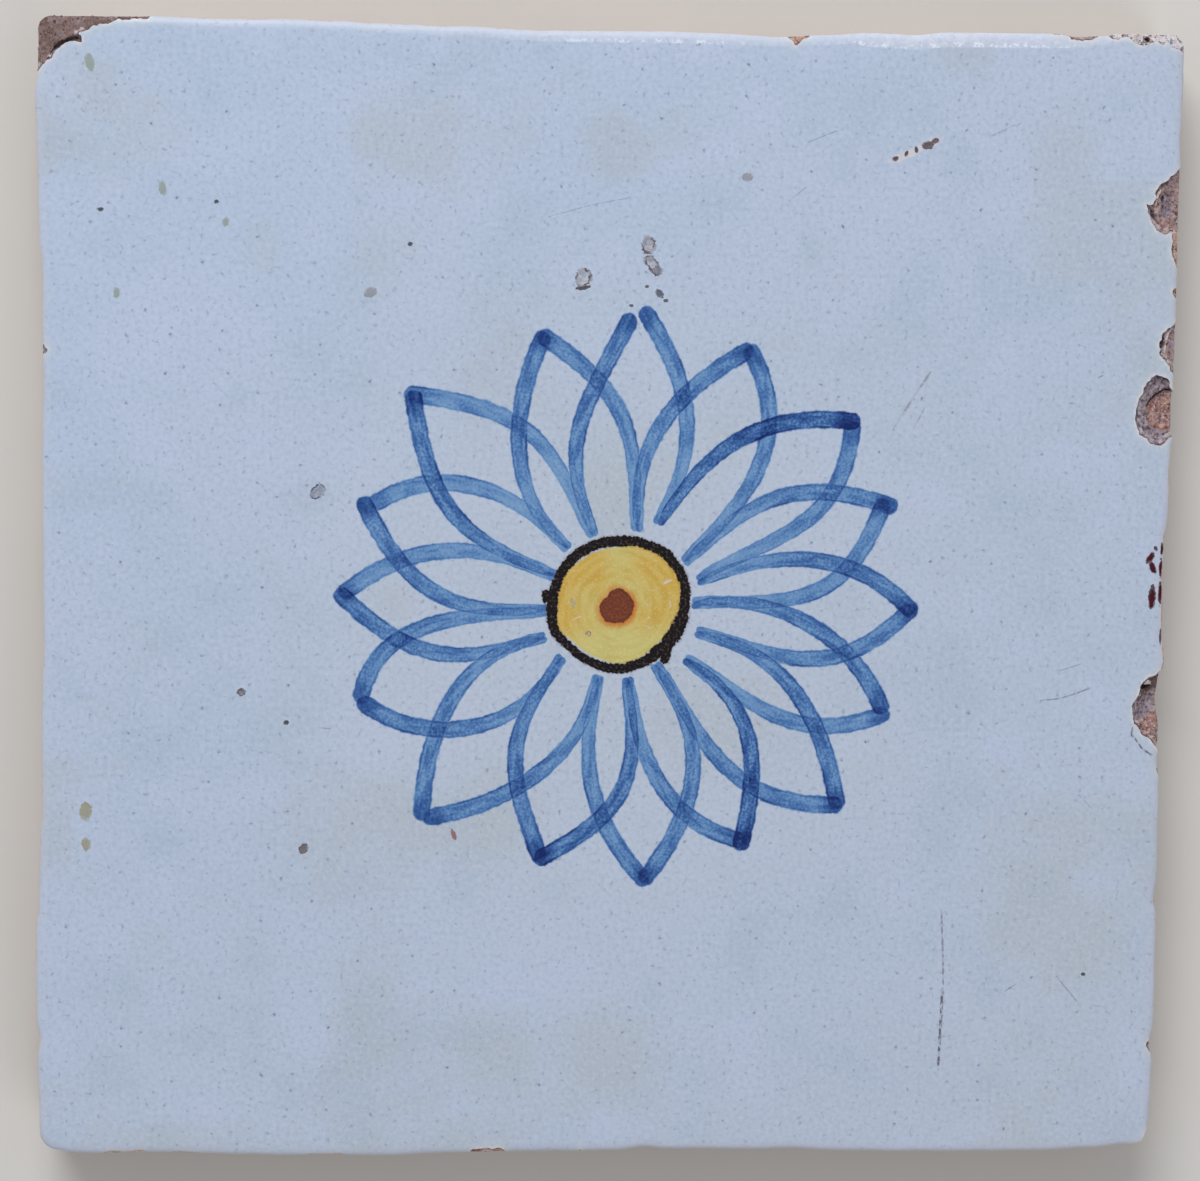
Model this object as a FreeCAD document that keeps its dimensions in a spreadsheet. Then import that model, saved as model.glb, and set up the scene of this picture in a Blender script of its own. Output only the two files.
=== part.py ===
import FreeCAD, Part
import Sketcher
import os

os.makedirs("parts", exist_ok=True)

# A square glazed wall tile, one fired piece, lying with its painted face up.
# The origin is the middle of the underside. +X runs to the right of the painted face, +Y to its top.
# All lengths are in millimetres and all angles in degrees.

TILE = {
    "side_length": 150.0,
    "tile_thickness": 12.0,
    "side_undercut_angle": 3.0,
    "corner_round": 1.6,
    "glaze_arris_round": 1.0,
    "back_edge_round": 0.7,
}

# Conchoidal chips on an edge. Place is counted from the middle of that side, along +X or +Y.
# Length runs along the edge, reach over the glazed face, and depth down the side of the tile.
CHIP_SIZES = ("place", "length", "reach", "depth")
EDGE_CHIPS = {
    "right_shoulder": ("right", 53.0, 9.6, 4.2, 2.4),
    "right_crescent": ("right", 34.2, 7.6, 2.2, 1.0),
    "right_crater": ("right", 25.4, 9.8, 5.2, 2.9),
    "right_bite": ("right", -14.6, 12.4, 4.3, 3.4),
    "right_nick": ("right", -60.1, 2.6, 1.0, 0.7),
    "top_ochre_nick": ("top", 23.5, 3.2, 1.5, 0.8),
    "top_far_nick": ("top", 61.2, 4.8, 1.1, 0.8),
    "bottom_nick": ("bottom", -14.9, 5.8, 1.6, 0.9),
    "bottom_small_nick": ("bottom", 6.8, 3.2, 1.1, 0.7),
    "left_nick": ("left", 31.9, 2.6, 1.1, 0.6),
}
OUTWARD = {"right": (1, 0), "left": (-1, 0), "top": (0, 1), "bottom": (0, -1)}

# Broken corners. Across runs along X, down along Y and depth below the face, all from the corner.
# Rise is the height of the break's hollow centre over the glazed face: the higher, the flatter the break.
BREAK_SIZES = ("across", "down", "depth", "rise")
CORNER_BREAKS = {
    "upper_left_flake": ((-1, 1), 15.0, 8.3, 1.0, 40.0),
    "lower_right_break": ((1, -1), 2.6, 2.4, 3.0, 1.0),
}


def driving_dimensions():
    """Every size by its sheet name."""
    sizes = dict(TILE)
    for chip, (edge, *values) in EDGE_CHIPS.items():
        sizes.update({f"{chip}_{word}": value for word, value in zip(CHIP_SIZES, values)})
    for corner, (signs, *values) in CORNER_BREAKS.items():
        sizes.update({f"{corner}_{word}": value for word, value in zip(BREAK_SIZES, values)})
    return sizes


def make_sheet(doc):
    sheet = doc.addObject("Spreadsheet::Sheet", "Dimensions")
    for row, (name, value) in enumerate(driving_dimensions().items(), start=1):
        sheet.set(f"A{row}", name)
        sheet.set(f"B{row}", str(value))
        sheet.setAlias(f"B{row}", name)
    doc.recompute()


def origin_plane(body, role):
    return next(plane for plane in body.Origin.OriginFeatures if plane.Role == role)


def face_square(body):
    """The square of the glazed face, centred on the origin at the tile's full height."""
    sketch = body.newObject("Sketcher::SketchObject", "FaceSquare")
    sketch.AttachmentSupport = [(origin_plane(body, "XY_Plane"), "")]
    sketch.MapMode = "FlatFace"
    sketch.setExpression("AttachmentOffset.Base.z", "Dimensions.tile_thickness")
    half = TILE["side_length"] / 2
    corners = [FreeCAD.Vector(x * half, y * half, 0) for x, y in ((-1, -1), (1, -1), (1, 1), (-1, 1))]
    for k, corner in enumerate(corners):
        sketch.addGeometry(Part.LineSegment(corner, corners[(k + 1) % 4]), False)
    for k in range(4):
        sketch.addConstraint(Sketcher.Constraint("Coincident", k, 2, (k + 1) % 4, 1))
        sketch.addConstraint(Sketcher.Constraint("Vertical" if k % 2 else "Horizontal", k))
    sketch.addConstraint(Sketcher.Constraint("Symmetric", 0, 1, 1, 2, -1, 1))
    sketch.addConstraint(Sketcher.Constraint("Equal", 0, 1))
    side = sketch.addConstraint(Sketcher.Constraint("DistanceX", 0, 1, 0, 2, 2 * half))
    sketch.setExpression(f"Constraints[{side}]", "Dimensions.side_length")
    return sketch


def tile_block(body, sketch):
    """The block runs down from the face, and its sides are cut under so that faces can meet in a wall."""
    block = body.newObject("PartDesign::Pad", "Block")
    block.Profile = sketch
    block.Reversed = True
    block.setExpression("Length", "Dimensions.tile_thickness")
    body.Document.recompute()
    faces = {f"Face{k}": face.normalAt(0, 0).z for k, face in enumerate(block.Shape.Faces, start=1)}
    undercut = body.newObject("PartDesign::Draft", "SideUndercut")
    undercut.Base = (block, [name for name, lean in faces.items() if abs(lean) < 0.5])
    undercut.NeutralPlane = (block, [name for name, lean in faces.items() if lean > 0.5])
    undercut.Reversed = True
    undercut.setExpression("Angle", "Dimensions.side_undercut_angle")
    body.Document.recompute()
    return undercut


def edges_at(shape, level):
    """Names of the edges that lie at one height."""
    near = 1e-4
    return [
        f"Edge{k}"
        for k, edge in enumerate(shape.Edges, start=1)
        if all(abs(vertex.Z - level) < near for vertex in edge.Vertexes)
    ]


def round_edges(body, base, name, edge_names, size):
    rounded = body.newObject("PartDesign::Fillet", name)
    rounded.Base = (base, edge_names)
    rounded.setExpression("Radius", f"Dimensions.{size}")
    body.Document.recompute()
    return rounded


def round_block(body, block):
    """Upright corners first, then the rolled glaze arris round the face and the worn edge of the back."""
    top = block.Shape.BoundBox.ZMax
    level = edges_at(block.Shape, top) + edges_at(block.Shape, 0)
    upright = [f"Edge{k + 1}" for k in range(len(block.Shape.Edges)) if f"Edge{k + 1}" not in level]
    corners = round_edges(body, block, "UprightCorners", upright, "corner_round")
    arris = round_edges(body, corners, "GlazeArris", edges_at(corners.Shape, top), "glaze_arris_round")
    round_edges(body, arris, "BackEdge", edges_at(arris.Shape, 0), "back_edge_round")


def scoop(body, name, face_corner, stand_off, radius_parts):
    """Spherical hollow whose centre stands off from a point of the face's edge, in the order X, Y, Z."""
    hollow = body.newObject("PartDesign::SubtractiveSphere", name)
    squares = " + ".join(f"({part})^2" for part in radius_parts)
    hollow.setExpression("Radius", f"sqrt({squares})")
    for axis, place, part in zip("xyz", face_corner, stand_off):
        hollow.setExpression(f"Placement.Base.{axis}", f"{place} + {part}")


def chip_edges(body):
    """Each hollow cuts the stated length along its edge, reach over the face and depth down the side."""
    half_side = "Dimensions.side_length / 2"
    for chip, (edge, *_) in EDGE_CHIPS.items():
        place, length, reach, depth = (f"Dimensions.{chip}_{word}" for word in CHIP_SIZES)
        half_length = f"{length} / 2"
        outwards = f"(({half_length})^2 - {reach}^2) / (2 * {reach})"
        upwards = f"(({half_length})^2 - {depth}^2) / (2 * {depth})"
        x, y = OUTWARD[edge]
        middle = (f"{x} * {half_side}", place) if x else (place, f"{y} * {half_side}")
        stand_off = (f"{x} * {outwards}", f"{y} * {outwards}", upwards)
        scoop(body, chip, (*middle, "Dimensions.tile_thickness"), stand_off, (outwards, upwards, half_length))


def break_corners(body):
    """Each hollow cuts both edges of the face and the corner below it at the stated distances."""
    half_side = "Dimensions.side_length / 2"
    for corner, ((x, y), *_) in CORNER_BREAKS.items():
        across, down, depth, rise = (f"Dimensions.{corner}_{word}" for word in BREAK_SIZES)
        power = f"({depth}^2 + 2 * {depth} * {rise})"
        along_x = f"({power} - {across}^2) / (2 * {across})"
        along_y = f"({power} - {down}^2) / (2 * {down})"
        face_corner = (f"{x} * {half_side}", f"{y} * {half_side}", "Dimensions.tile_thickness")
        stand_off = (f"{x} * {along_x}", f"{y} * {along_y}", rise)
        scoop(body, corner, face_corner, stand_off, (along_x, along_y, f"{depth} + {rise}"))


def check(doc):
    for item in doc.Objects:
        if {"Invalid", "Error"} & set(item.State):
            raise RuntimeError(f"{item.Label} failed: {item.State}")


def main():
    doc = FreeCAD.newDocument("azulejo_tile")
    make_sheet(doc)
    tile = doc.addObject("PartDesign::Body", "tile")
    tile.Label = "tile"
    block = tile_block(tile, face_square(tile))
    round_block(tile, block)
    chip_edges(tile)
    break_corners(tile)
    tile.Placement = FreeCAD.Placement()
    doc.recompute()
    check(doc)
    if tile.Shape.isNull() or not tile.Shape.isValid():
        raise RuntimeError("tile has no valid shape")
    tile.Shape.exportStep(f"parts/{tile.Label}.step")
    box = tile.Shape.BoundBox
    print(tile.Label, "solids", len(tile.Shape.Solids), "faces", len(tile.Shape.Faces))
    print("volume", round(tile.Shape.Volume, 1), "box", box.XMin, box.XMax, box.YMin, box.YMax, box.ZMin, box.ZMax)


main()
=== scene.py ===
"""A square wall tile of fired clay under a thin pale blue glaze, hand painted with a sixteen-petalled
cobalt flower round a yellow heart. Its glazed edge is worn and chipped down to the clay."""
from collections import namedtuple
import itertools
import math

import bpy
import numpy as np
from mathutils import Matrix, Vector
from mathutils.geometry import delaunay_2d_cdt


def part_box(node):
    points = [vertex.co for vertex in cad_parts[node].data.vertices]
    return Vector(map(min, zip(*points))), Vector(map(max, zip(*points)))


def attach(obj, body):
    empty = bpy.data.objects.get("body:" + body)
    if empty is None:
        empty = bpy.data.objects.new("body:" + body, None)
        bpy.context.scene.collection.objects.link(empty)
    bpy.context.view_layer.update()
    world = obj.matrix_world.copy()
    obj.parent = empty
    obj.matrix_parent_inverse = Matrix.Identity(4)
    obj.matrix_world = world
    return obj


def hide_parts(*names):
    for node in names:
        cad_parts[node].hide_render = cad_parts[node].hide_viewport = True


bl_info = {
    "name": "Painted azulejo tile",
    "version": (1, 0, 0),
    "blender": (4, 5, 0),
    "location": "View3D > Sidebar > Azulejo",
    "description": "Builds the glaze, clay and clay grit of a chipped, hand-painted wall tile",
    "category": "Add Mesh",
}

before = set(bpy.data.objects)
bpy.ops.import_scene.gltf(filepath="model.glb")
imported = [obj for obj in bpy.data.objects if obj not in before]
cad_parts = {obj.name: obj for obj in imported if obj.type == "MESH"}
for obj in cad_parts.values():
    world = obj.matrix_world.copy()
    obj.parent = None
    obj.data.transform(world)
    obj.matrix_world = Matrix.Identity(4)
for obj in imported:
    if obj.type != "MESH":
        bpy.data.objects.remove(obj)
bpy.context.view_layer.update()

# Lengths below are in millimetres of the tile's own frame: +X right, +Y up the painted face, +Z out of it.
MM = 0.001
LOW, HIGH = (np.array(corner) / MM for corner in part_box("tile"))
HALF_SIDE = float(min(HIGH[0], HIGH[1], -LOW[0], -LOW[1])) - 0.01
FACE_HEIGHT = float(HIGH[2])
# Distances that stand for "nowhere near": from a path, and from a chip. Clay off the chips has no tone.
FAR = 99.0
OFF_CHIPS = 9.0
NO_TONE = -1.0
# Kinds of faces: the upper side, walls and the under side.
FACE, WALL, UNDER = range(3)
# Faces that meet at a larger angle than this are shaded with a crease.
CREASE = math.radians(38)
# The wear of a side runs on unchanged past this place, and a mark's tint reaches so many half widths.
LAST_WEAR = 72.5
MARK_REACH = 1.6

# How far the worn silhouette lies inside the true square: (place along the side, inset).
EDGE_WEAR = {
    "right": ((-72, 0.44), (-69, 0.34), (-65, 0.12), (-62.5, 0.09), (-60, 0.54), (-57, 0.09),
              (-53, 0.02), (-46, 0.14), (-42, 0.24), (-40.3, 0.59), (-37, 0.22), (-30, 0.24),
              (-24, 0.38), (-21.5, 0.67), (-18, 0.35), (-13, 0.84), (-9.5, 0.4), (-8, 0.09), (-4, 0.54),
              (4, 0.69), (8, 0.69), (12, 0.24), (18, 0.26), (20.5, 0.2), (22, 0),
              (28.5, 0), (30, 0.1), (31, 0), (38, 0), (42, 0.02), (48, 0.02), (57, 0.02), (61, 0.14),
              (64, 0.02), (72, 0.02)),
    "left": ((-72, 0.53), (-67, 0.48), (-62, 0.26), (-59, 0.63), (-56, 0.16), (-44, 0.16), (-41, 0.53),
             (-34, 0.68), (-28, 1), (-18, 0.93), (-12, 1.03), (-6, 1.23), (2, 1.18), (13, 1.08),
             (19, 1.08), (25, 1.23), (31, 1.23), (36, 1.13), (43, 1.18), (46, 0.78), (54, 0.63),
             (60, 0.38), (65, 0.28), (67, 0.58), (72, 0.68)),
    "top": ((-72, 0.24), (-60, 0.14), (-50, 0.26), (-41, 0.14), (-35, 0.24), (-31, 0.49), (-20, 0.64),
            (-10, 0.99), (-6, 0.94), (6, 0.84), (12, 0.89), (17, 1.04), (21, 1.24), (27, 0.89),
            (33, 0.49), (39, 0.64), (43, 0.29), (50, 0.19), (58, 0.14), (61, 0.5), (64, 0.3),
            (66, 0), (72, 0)),
    "bottom": ((-72, 1.05), (-70, 0.75), (-66, 0.6), (-60, 0.72), (-54, 0.57), (-48, 0.35), (-40, 0.22),
               (-28, 0.1), (-22, 0.35), (-15, 0.45), (-10, 0.55), (2, 0.62), (6, 1.05), (9, 0.8),
               (14, 0.8), (18, 0.65), (26, 0.72), (32, 0.42), (41, 0.27), (50, 0.17), (60, 0.25),
               (66, 0.5), (72, 1)),
}
# How far the glaze stops short of the silhouette and leaves a line of raw clay.
GLAZE_SHORT = {
    "right": ((-72, 0.02), (-24, 0.04), (-8, 0.16), (8, 0.18), (21, 0.1), (23, 0.02), (72, 0.02)),
    "left": ((-72, 0.01), (20, 0.01), (72, 0.04)),
    "top": ((-72, 0.08), (-20, 0.06), (10, 0.03), (72, 0.02)),
    "bottom": ((-72, 0.02), (-66.5, 0.02), (-65, 0.3), (-61, 0.3), (-59.5, 0.02), (-57.5, 0.02),
               (-56.5, 0.25), (-54.5, 0.25), (-53, 0.02), (-40, 0.01), (-38.5, 0.25), (-35, 0.25),
               (-33.5, 0.01), (72, 0.01)),
}
# Strength of the painted highlight along the top side's roll, a pale band with glints where the roll catches
# the light: (place, strength).
TOP_PAINTED_HIGHLIGHT = ((-75, 0.1), (-50, 0.15), (-25, 0.3), (0, 0.6), (10, 0.6), (22, 0.4), (30, 0.45), (34, 0.95),
             (40, 1), (57, 0.95), (62, 0.5), (65, 0.2), (75, 0.15))
# Each side's outward direction.
SIDES = {"right": (1, 0), "left": (-1, 0), "top": (0, 1), "bottom": (0, -1)}

# Chips through the glaze: depth of the scar at the silhouette, tone of its clay and outline of the lost
# glaze, which runs on past the silhouette. The tone runs from 0 for the darkest brown, painted shade in
# hollows, over 0.9 for red clay to 1.4 for pale scraps.
CHIPS = {
    "corner_flake": (0.9, 0.2, (
        (-76, 66.7), (-74.4, 66.9), (-74.1, 67.6), (-73.2, 68.9), (-72.4, 69.2), (-72, 69.9), (-71.2, 70.8),
        (-70.1, 71.3), (-68.7, 71.2), (-68.6, 71.7), (-69, 72.4), (-67.9, 73), (-65.1, 73.9), (-62.4, 74.5),
        (-60.6, 74.4), (-59.9, 74.8), (-59.6, 76), (-76, 76))),
    "shoulder": (0.9, 0.7, (
        (76, 58.1), (74.6, 57.4), (74.3, 56.8), (73.6, 56.6), (73.2, 55.8), (72.3, 55.5), (71.4, 54.3),
        (71.5, 53.5), (71.1, 52.7), (70.3, 53), (70.4, 52), (70.8, 51.3), (71.3, 50.2), (72.1, 49.2),
        (73.1, 48.9), (73.9, 49.4), (74, 47.9), (73.9, 46.6), (74.1, 45.9), (74.5, 45), (75.1, 44.2),
        (76, 43.6))),
    "shoulder_nick": (0.5, 0.95, ((76, 42.1), (75.1, 42), (74.2, 41.5), (74.7, 40.7), (76, 40.4))),
    "crescent": (0.55, 0.62, (
        (76, 38.3), (75, 37.7), (74.3, 36.9), (73.6, 36.2), (73.1, 35.6), (72.8, 34.5), (72.7, 33.1),
        (73.2, 32.5), (73.6, 32.6), (73.7, 32), (74.2, 31.4), (74.6, 30.9), (76, 30.2))),
    "crater": (0.85, 0.46, (
        (76, 28.4), (74.7, 28.3), (74.1, 29.5), (73.7, 29.9), (72.5, 30.3), (71.5, 29.5), (70.7, 28.4),
        (69.9, 26.6), (69.7, 25.7), (69.9, 23.7), (70.3, 22.7), (70.9, 22), (71.6, 21.5), (73, 20.8),
        (74.1, 21.7), (74.7, 22.1), (76, 22.2))),
    "bite": (1.7, 0.6, (
        (76, -8.2), (74.9, -8.5), (74.5, -8.9), (72.9, -9.9), (71.7, -10.9), (71.3, -12.5), (70.7, -13.3),
        (70.6, -14.3), (70.8, -16.2), (71.2, -16.6), (72.4, -18), (73.1, -18.4), (74.1, -19.8),
        (74.6, -20.4), (76, -20.8))),
    "bite_nick": (0.6, 0.3, ((76, -21.2), (74.6, -21.6), (74.1, -22.6), (74.7, -23.6), (76, -24))),
    "low_nick": (0.6, 0.5, ((76, -58.6), (74.5, -59.2), (73.9, -60), (74.4, -61.2), (76, -61.8))),
    "lower_right_corner": (1.4, 0.6, ((76, -71.6), (74.4, -71.9), (73.5, -73.5), (72.1, -74.1), (71.8, -76),
                                      (76, -76))),
    "ochre_nick": (0.6, 1.0, ((20.4, 76), (20.7, 74.2), (22.2, 73.6), (23, 73.2), (23.6, 72.7), (24.4, 73.3),
                               (25.6, 74.2), (25.9, 76))),
    "far_nick": (0.7, 0.7, ((56.8, 76), (57.4, 74.8), (59.2, 74.4), (60.8, 73.9), (62.4, 74.1), (63.4, 74.6),
                            (63.8, 76))),
    "far_strip": (0.25, 1.3, ((64.4, 76), (64.8, 74.5), (66, 74.2), (67.2, 74.4), (68.2, 73.8), (69.6, 73.5),
                               (70.6, 73.9), (71.8, 73.7), (72.6, 74), (73.2, 73.2), (74.1, 72.8), (76, 72.6),
                               (76, 76))),
    "foot_nick": (0.4, 0.95, ((-18.2, -76), (-17.2, -74.2), (-15.6, -73.9), (-14, -73.85), (-12.8, -74.1),
                              (-11.8, -76))),
    "foot_notch": (0.6, 0.0, ((-3.2, -76), (-2.95, -74.35), (-2.6, -74), (-2.25, -74.35), (-2, -76))),
    "left_nick": (0.5, 0.5, ((-76, 33.1), (-73.9, 32.7), (-73.2, 31.9), (-73.8, 31.1), (-76, 30.7))),
}
# Hollows, and raised scraps of less depth, inside a chip: extra depth, width of the bank, tone and outline.
# The low tones of holes, pits, cracks and the bite's upper bank are painted shade.
HOLLOWS = {
    "crater_core": (0.55, 0.3, 0.8, (
        (76, 28.4), (74.5, 28.3), (73.8, 28.4), (73, 27.9), (71.9, 27), (71.3, 26), (71.4, 24.3),
        (72.2, 23.1), (73.2, 22.9), (76, 22.6))),
    "crater_crack": (0.6, 0.12, -0.3, (
        (74.9, 28.5), (73.8, 28.6), (72.9, 28.1), (71.8, 27.2), (71.3, 26.4), (71.35, 25.9),
        (71.6, 26.2), (72.1, 26.95), (73, 27.75), (73.9, 28.25), (74.9, 28.2))),
    "shoulder_hollow": (0.5, 0.5, 0.5, ((73.2, 54.8), (72.4, 53.6), (72.5, 51.6), (73.4, 50.6), (74, 51.8),
                                        (73.9, 53.6))),
    "shoulder_pit": (0.6, 0.2, 0.0, ((72.6, 54.1), (72.3, 53.6), (72.5, 53.1), (72.9, 53.1), (73, 53.8))),
    "shoulder_crack": (0.6, 0.25, 0.05, ((70.8, 52.8), (71, 51.4), (71.7, 50.3), (72.3, 49.7), (72.1, 50.6),
                                         (71.5, 52))),
    "crescent_hole": (0.8, 0.25, 0.1, ((73.3, 35.7), (72.9, 34.9), (72.8, 33.9), (73.2, 33.8), (73.5, 34.9))),
    "bite_hole": (0.9, 0.3, 0.0, ((71.9, -11), (72.6, -10.9), (73.4, -11.2), (72.6, -11.7), (71.8, -11.8))),
    "bite_floor": (0.4, 0.8, 0.45, ((71.4, -12.6), (71.2, -15.2), (72.2, -16.4), (73.6, -15.8), (74.4, -13.2),
                                    (73.4, -12))),
    "bite_top": (0.1, 0.6, 0.05, ((70.8, -12.6), (71.6, -10.9), (73, -9.9), (74.6, -9), (76, -8.6),
                                  (76, -11.6), (74.2, -12), (72.8, -12.6), (71.8, -13.4))),
    "bite_sill": (0.0, 0.7, 0.82, ((70.7, -16), (72.2, -15.4), (73.2, -14.6), (74.6, -14.2), (76, -13.6),
                                   (76, -20.8), (74.4, -20), (73, -18.4), (71.4, -17.2))),
    "bite_scrap": (-0.5, 0.14, 1.5, ((72, -10.8), (72.5, -10.3), (73.1, -10.5), (73.3, -11), (72.9, -11.3),
                                      (72.3, -11.2))),
    "shoulder_scrap": (-0.2, 0.2, 1.25, ((72.2, 55), (71.8, 54.4), (71.6, 53.5), (71.5, 52.8), (71.9, 52.4),
                                         (72.1, 53.5), (72.5, 54.6))),
    "shoulder_strip": (-0.3, 0.2, 1.0, ((74.1, 49.4), (74.1, 47.4), (74.4, 45.8), (75, 44.6), (76, 44),
                                        (76, 50))),
    "crescent_ridge": (-0.25, 0.16, 1.25, ((74.7, 37.1), (73.8, 36), (73.45, 34.6), (73.2, 33.3),
                                           (73.6, 33.1), (73.9, 34.4), (74.1, 35.6), (74.8, 36.7))),
    "far_pit": (0.5, 0.2, 0.05, ((69.4, 74.4), (69.6, 73.9), (70.2, 73.8), (70.5, 74.2), (70.1, 74.6))),
    "far_hole": (0.4, 0.2, 0.2, ((66.4, 74.8), (66.6, 74.5), (67.2, 74.6), (67, 74.9))),
    "corner_cavity": (0.65, 0.3, 0.1, ((-72.7, 69.9), (-72, 71.1), (-70.6, 71.9), (-69.2, 72.3),
                                      (-68.9, 71.6), (-70.1, 71.2), (-71.4, 70.6))),
}

# Rows of points along the edge: how far they lie inside the glaze line and inside the silhouette, and the
# step from point to point.
GLAZE_ROWS = (0.08, 0.2, 0.38, 0.62, 0.95, 1.35)
CLAY_ROWS = (0.06, 0.15, 0.28, 0.45, 0.7, 1.0)
ROW_STEP = 0.36
# Levels of the glaze's edge: share of its drop and of its push outwards.
LIP_LEVELS = ((0.3, 0.8), (0.7, 1.0), (1.0, 0.0))
# Levels of the tile's side as shares of the way down, and the back's round: rise and pull as shares of it.
SIDE_LEVELS = (0.03, 0.08, 0.16, 0.27, 0.4, 0.54, 0.68, 0.82, 0.92, 1.0)
BACK_LEVELS = ((0.45, 0.12), (0.15, 0.38), (0.0, 0.7))

# Whole numbers that hash the cells of the noise's lattice.
PRIMES = (73856093, 19349663, 83492791)
SEED_FACTOR = 1013904223
MIXERS = ((13, 1274126177), (16, 2246822519))
LOW_BITS = 0xFFFFFFFF

# Roots of the petals round the heart, counter-clockwise from the top.
ROOTS = ((-2.2, 8.7), (-5.6, 6.9), (-7.4, 3.2), (-8.4, -1.5), (-8.6, -5.1), (-6.2, -8.0), (-1.2, -10.5),
         (2.8, -10.8), (6.6, -8.9), (10.7, -8.0), (12.1, -4.3), (11.6, -0.4), (12.2, 2.7), (10.3, 5.3),
         (6.6, 10.4), (3.7, 9.5))
# Each petal has a clockwise and a counter-clockwise stroke: tip, two handles, ink load. The first ends
# at the root two petals back and the second at the petal's own root.
PETALS = (
    ((4.6, 37.4), (10.5, 28.5), (12.5, 20), 0.5, (2.2, 36.5), (-3, 26), (-7.5, 20.5), 0.6),
    ((-8.7, 34.3), (2.5, 27), (3.5, 22), 0.5, (-9.1, 34.1), (-13, 25.5), (-14, 13.5), 0.54),
    ((-25.9, 26.7), (-11.5, 25), (-8, 22), 0.42, (-25.8, 26.1), (-23.5, 12.5), (-20.5, 8), 0.62),
    ((-30.4, 12.6), (-22, 18), (-11.5, 14.5), 0.42, (-32, 12.2), (-26.5, 1), (-21, -2.5), 0.58),
    ((-34.4, 0.8), (-26, 7.5), (-17, 8), 0.45, (-34.9, 0.3), (-26.5, -8), (-20, -9.5), 0.6),
    ((-32.3, -12.8), (-30, -2), (-17, -2), 0.52, (-31.8, -14), (-23.5, -20), (-10.5, -18), 0.58),
    ((-24.2, -28.4), (-24, -18.5), (-20, -6.5), 0.53, (-23, -29), (-13, -27.5), (-2.5, -21), 0.55),
    ((-8.7, -34), (-12.5, -24), (-14.5, -18.5), 0.62, (-8.3, -34.4), (3, -28.5), (5, -23.5), 0.7),
    ((5.1, -37.2), (-2, -29.5), (-4, -21), 0.52, (5.6, -37), (13, -27.5), (14, -18.5), 0.56),
    ((17.7, -32), (7.5, -29.5), (4, -20), 0.56, (18.3, -32.4), (20.5, -22), (20.5, -14), 0.8),
    ((30.7, -27.3), (16.5, -27.5), (13, -19), 0.54, (30.9, -26.9), (29, -16), (24, -6.5), 0.62),
    ((36.7, -15.2), (25.5, -19.5), (19.5, -14), 0.47, (36.6, -14.1), (32.5, -4.5), (22, 1.5), 0.6),
    ((40.1, -1.2), (30.5, -11), (23.5, -8), 0.54, (40.1, -1), (32.5, 7), (22, 7), 0.6),
    ((36.2, 12.7), (31.5, -1), (24.5, -0.5), 0.48, (37.1, 12.7), (25, 16.5), (19, 14), 0.54),
    ((31.9, 22.8), (31, 9.5), (21.5, 8.5), 0.5, (31.9, 23.8), (20, 25), (13, 20.5), 0.85),
    ((18.4, 32.7), (24.5, 21.5), (18.5, 13), 0.52, (17.7, 32.8), (8.5, 27.5), (2.5, 20.5), 0.57),
)
ROOT_ASIDE = 0.3

# The dark ring: its middle, radius and width at even bearings, counter-clockwise from +X.
HEART = (1.2, -0.7)
RING_RADII = (8.95, 9.4, 9.3, 8.85, 8.4, 8.4, 8.5, 8.45, 8.6, 8.85, 8.3, 8.3, 8.5, 8.35, 8.35, 8.65)
RING_WIDTHS = (1.25, 1.15, 1.2, 1.1, 1.3, 1.2, 1.25, 1.1, 1.4, 1.15, 1, 1.05, 1.2, 1.2, 1.5, 1.8)
DOT_CENTRE = (1.25, -1.0)
DOT_RADII = (2.2, 2.3, 2.5, 2.0, 2.4, 2.4, 2.2, 2.15)

# Paint marks of the ring's brush, drawn as short dabs: start, end and half width.
RING_DABS = (((8, -6.0), (7.6, -7.9), 0.6), ((-8.2, 0.9), (-8.1, -0.4), 0.45),
             ((6.6, -6.6), (6.0, -7.1), 0.55))

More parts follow.
